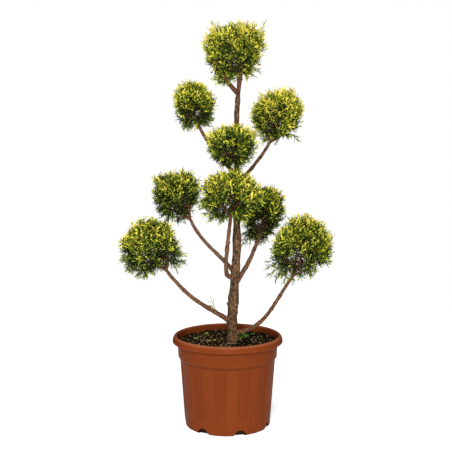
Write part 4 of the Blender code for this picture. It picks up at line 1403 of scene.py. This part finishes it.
BALLS = (
    ball(
        "top", 11, 0.22, (17, 0, 938), (159, 152), 0.26,
        (82, 94, 97, 96, 91, 85, 94, 104, 122, 93, 97, 92),
        ((3, -10, 859), (-28, -28, 911), (33, -2, 889), (47, -20, 936),
         (29, -4, 886), (-6, -26, 923), (29, 8, 877), (26, 38, 939)),
        ((125, 130), (133, 120), (118, 112), (48, 132), (60, 116),
         (243, 114), (255, 116), (300, 114), (312, 122), (325, 128)),
    ),
    ball(
        "upper_left", 12, -0.22, (-84, 60, 811), (111, 131), 0.1,
        (93, 81, 83, 89, 92, 99, 94, 92, 104, 91, 110, 108),
        ((-86, 52, 771), (-99, 44, 811), (-72, 56, 771), (-49, 56, 804),
         (-95, 56, 774), (-117, 62, 794), (-83, 66, 786), (-83, 80, 832)),
        ((8, 122), (256, 118), (240, 120), (284, 116), (270, 112), (105, 114), (85, 110), (170, 108)),
    ),
    ball(
        "upper_right", 13, 0.15, (124, 30, 781), (135, 145), 0.12,
        (95, 96, 100, 85, 85, 93, 99, 98, 104, 89, 80, 94),
        ((136, 26, 732), (168, 30, 769), (110, 20, 737), (108, 14, 791),
         (121, 34, 741), (139, 48, 801), (101, 28, 727), (81, 28, 774)),
        ((316, 148), (300, 115), (128, 118), (58, 116), (92, 114), (75, 112), (192, 110), (205, 108)),
    ),
    ball(
        "upper_centre", 14, -0.42, (11, -85, 711), (124, 110), 0.14,
        (92, 97, 100, 98, 90, 100, 87, 107, 100, 100, 105, 86),
        ((2, -97, 687), (-11, -107, 725), (10, -85, 677), (37, -83, 713),
         (-4, -89, 675), (-27, -89, 706), (8, -75, 686), (18, -61, 726)),
        ((200, 110), (318, 112), (245, 108), (165, 106), (300, 108)),
    ),
    ball(
        "middle_left", 15, -0.8, (-131, 45, 584), (127, 127), 0.1,
        (93, 98, 104, 90, 103, 94, 95, 94, 109, 114, 111, 93),
        ((-121, 37, 532), (-158, 35, 557), (-97, 37, 550), (-110, 33, 593),
         (-97, 41, 552), (-86, 47, 592), (-103, 51, 543), (-137, 71, 598)),
        ((276, 116), (290, 118), (304, 122), (316, 118), (338, 120),
         (72, 114), (250, 118), (238, 116), (225, 110), (180, 106)),
    ),
    ball(
        "middle_centre", 16, -0.25, (9, -95, 594), (143, 129), 0.1,
        (106, 89, 91, 100, 99, 98, 100, 118, 121, 98, 105, 104),
        ((3, -101, 551), (-28, -119, 589), (9, -103, 551), (32, -117, 591),
         (6, -95, 555), (3, -91, 613), (10, -83, 549), (25, -61, 603)),
        ((205, 112), (218, 114), (232, 118), (248, 112), (355, 104), (292, 106), (310, 108)),
    ),
    ball(
        "middle_right", 17, -0.8, (95, 90, 534), (114, 140), 0.12,
        (95, 98, 97, 102, 100, 100, 100, 118, 142, 112, 80, 86),
        ((89, 80, 499), (99, 72, 549), (92, 86, 487), (122, 86, 524),
         (79, 86, 482), (66, 88, 518), (92, 94, 502), (93, 112, 563)),
        ((218, 134), (226, 146), (234, 150), (242, 144), (255, 122), (296, 126), (280, 116), (318, 114)),
    ),
    ball(
        "lower_left", 18, -0.5, (-189, -55, 468), (157, 142), 0.08,
        (84, 76, 94, 94, 90, 79, 92, 108, 126, 99, 92, 127),
        ((-170, -63, 417), (-201, -71, 453), (-145, -65, 427), (-150, -69, 474),
         (-183, -57, 418), (-228, -49, 454), (-157, -49, 424), (-182, -25, 491)),
        ((330, 116), (342, 116), (318, 120), (248, 112), (232, 112),
         (172, 116), (262, 112), (212, 110), (350, 108)),
    ),
    ball(
        "lower_right", 19, -0.42, (187, -30, 464), (161, 154), 0.1,
        (96, 79, 87, 101, 80, 84, 88, 120, 120, 115, 90, 102),
        ((151, -38, 410), (144, -44, 456), (180, -42, 426), (192, -52, 472),
         (194, -34, 402), (226, -28, 434), (170, -24, 421), (179, 0, 483)),
        ((206, 130), (213, 138), (220, 138), (228, 132), (238, 124),
         (250, 116), (285, 116), (298, 116), (12, 116), (318, 108)),
    ),
)


@dataclass(frozen=True)
class Shoot:
    """A small forked green shoot on the lower left bough. A leaf is (share of the way up, slant, length)."""

    step: int = 2
    place: float = 0.1
    length: float = 0.028
    diameter: float = 0.0022
    lean: tuple = (-0.35, -0.05, 0.9)
    leaves: tuple = (
        (0.25, 0.5, 0.015),
        (0.45, 1.3, 0.023),
        (0.62, -0.8, 0.015),
        (0.80, 0.7, 0.014),
        (0.95, -0.25, 0.014),
    )

    def build(self, shapes: list[Surface]) -> None:
        """Its stem and its pale sprays, as one piece."""
        carrier = next(limb for limb in BOUGHS if limb.name == "lower_left")
        line, girths = carrier.line(11)
        foot = line[self.step] + (line[self.step + 1] - line[self.step]) * self.place
        out = unit(np.asarray(self.lean))
        aside = unit(np.array([-out[2], 0.0, out[0]]))
        start = foot + out * girths[self.step] / 2
        top = start + out * self.length
        stem_line = np.linspace(start - out * 0.002, top, 8)[None]
        stem = tubes(stem_line, np.linspace(self.diameter / 2, 0.0005, 8), 8, 2)
        shares, slants, sizes = np.array(self.leaves).T
        roots = start + (top - start) * shares[:, None]
        ways = unit(out + aside * slants[:, None])
        tints = np.clip(shapes[0].tints, 0, 1)
        leaves = shapes[0].placed(roots, ways, np.cross(out, aside), sizes, tints)
        finishes = (
            Leaf("shoot_green", (0.090, 0.130, 0.022)),
            Leaf("shoot_pale", (0.180, 0.230, 0.045)),
            Leaf("shoot_stem", (0.200, 0.180, 0.060)),
        )
        surface = Surface.joined([stem, leaves])
        add_piece("young_shoot", surface, finishes, ("shoot_lower_left",))


# ---------------------------------------------------------------- studio


@dataclass(frozen=True)
class Studio:
    """Plain pale floor, soft lights and the camera. A lamp is (name, place, size, power)."""

    pitch: float = 6.70
    lens: float = 75.32
    sensor_width: float = 36.0
    floor_radius: float = 1.7
    floor_sides: int = 96
    white: tuple = (0.93, 0.93, 0.93)
    glow: float = 0.58
    ambient: float = 0.07
    aim: tuple = (0.0, 0.0, 0.45)
    lamps: tuple = (
        ("overhead", (-0.15, -0.75, 2.9), 1.5, 60),
        ("key", (-0.3, -2.7, 1.7), 0.9, 74),
        ("front", (0.2, -2.9, 0.6), 0.9, 41),
        ("back", (0.4, 2.4, 1.9), 1.4, 16),
    )

    def build(self) -> None:
        """Sets up the floor, the lights, the surroundings and the camera."""
        self.floor()
        for lamp in self.lamps:
            self.light(*lamp)
        self.surroundings()
        self.camera()

    def stand(self, name: str, data: bpy.types.ID) -> bpy.types.Object:
        """An object of the studio, linked into the scene."""
        stood = bpy.data.objects.new(name, data)
        bpy.context.scene.collection.objects.link(stood)
        return stood

    def floor(self) -> None:
        """A round level sheet that glows faintly, so that it is as white as what is round it."""
        turn = np.arange(self.floor_sides) * TAU / self.floor_sides
        rim = np.stack([np.cos(turn), np.sin(turn), np.zeros(len(turn))], -1) * self.floor_radius
        mesh = bpy.data.meshes.new("floor")
        mesh.from_pydata(rim.tolist(), [], [list(range(len(turn)))])
        inputs = {"Base_Color": self.white, "Emission_Color": self.white, "Emission_Strength": self.glow}
        mesh.materials.append(Maker("floor_white").finished(Roughness=0.9, **inputs))
        floor = self.stand("floor", mesh)

    def light(self, name: str, place: tuple, size: float, power: float) -> None:
        """A square soft light aimed at the plant's middle."""
        lamp = bpy.data.lights.new(name, "AREA")
        lamp.size = size
        lamp.energy = power
        holder = self.stand(name, lamp)
        holder.location = place
        aim = np.array(self.aim) - np.array(place)
        level = math.hypot(aim[0], aim[1])
        holder.rotation_euler = (math.atan2(level, -aim[2]), 0, math.atan2(-aim[0], aim[1]))

    def surroundings(self) -> None:
        """An even white surround, which lights the plant less than it shows."""
        world = bpy.data.worlds.new("surround")
        world.use_nodes = True
        tree = world.node_tree
        shown, lit = tree.nodes["Background"], tree.nodes.new("ShaderNodeBackground")
        for background in (shown, lit):
            background.inputs["Color"].default_value = (1.0, 1.0, 1.0, 1.0)
        lit.inputs["Strength"].default_value = self.ambient
        rays = tree.nodes.new("ShaderNodeLightPath")
        blend = tree.nodes.new("ShaderNodeMixShader")
        sources = (rays.outputs["Is Camera Ray"], lit.outputs[0], shown.outputs[0])
        for source, socket in zip(sources, blend.inputs):
            tree.links.new(source, socket)
        tree.links.new(blend.outputs[0], tree.nodes["World Output"].inputs["Surface"])
        bpy.context.scene.world = world
        bpy.context.scene.view_settings.view_transform = "Standard"

    def camera(self) -> None:
        """Level eye above the pot, looking a little down at the plant."""
        camera = bpy.data.cameras.new("camera")
        camera.sensor_width = self.sensor_width
        camera.lens = self.lens
        holder = self.stand("camera", camera)
        holder.location = VIEWPOINT
        holder.rotation_euler = (math.radians(90 - self.pitch), 0, 0)
        bpy.context.scene.camera = holder


def main() -> None:
    """Builds the pot, the compost, the wood and the foliage, then the studio."""
    logging.basicConfig(level=logging.INFO, format="%(name)s %(message)s", stream=sys.stdout)
    _, pot_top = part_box("pot")
    _, soil_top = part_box("soil")
    trunk_foot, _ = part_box("trunk")
    pot = Pot(rim_radius=pot_top.x, height=pot_top.z)
    pot.build()
    Compost(pot, soil_top.z).build()
    trunk = Trunk(foot=trunk_foot.z)
    trunk.build()
    for limb in BOUGHS:
        limb.build(trunk)
    points, girths = trunk.line(3)
    limbs = [(limb.line(14)[0], limb.diameter / 2) for limb in BOUGHS]
    bare = Limbs([(points, float(girths[len(girths) // 2]) / 2), *limbs])
    shapes = spray_shapes(SPRAY_SEED)
    for mass in BALLS:
        mass.build(trunk, bare, shapes)
    Shoot().build(shapes)
    Studio().build()


if __name__ == "__main__":
    main()
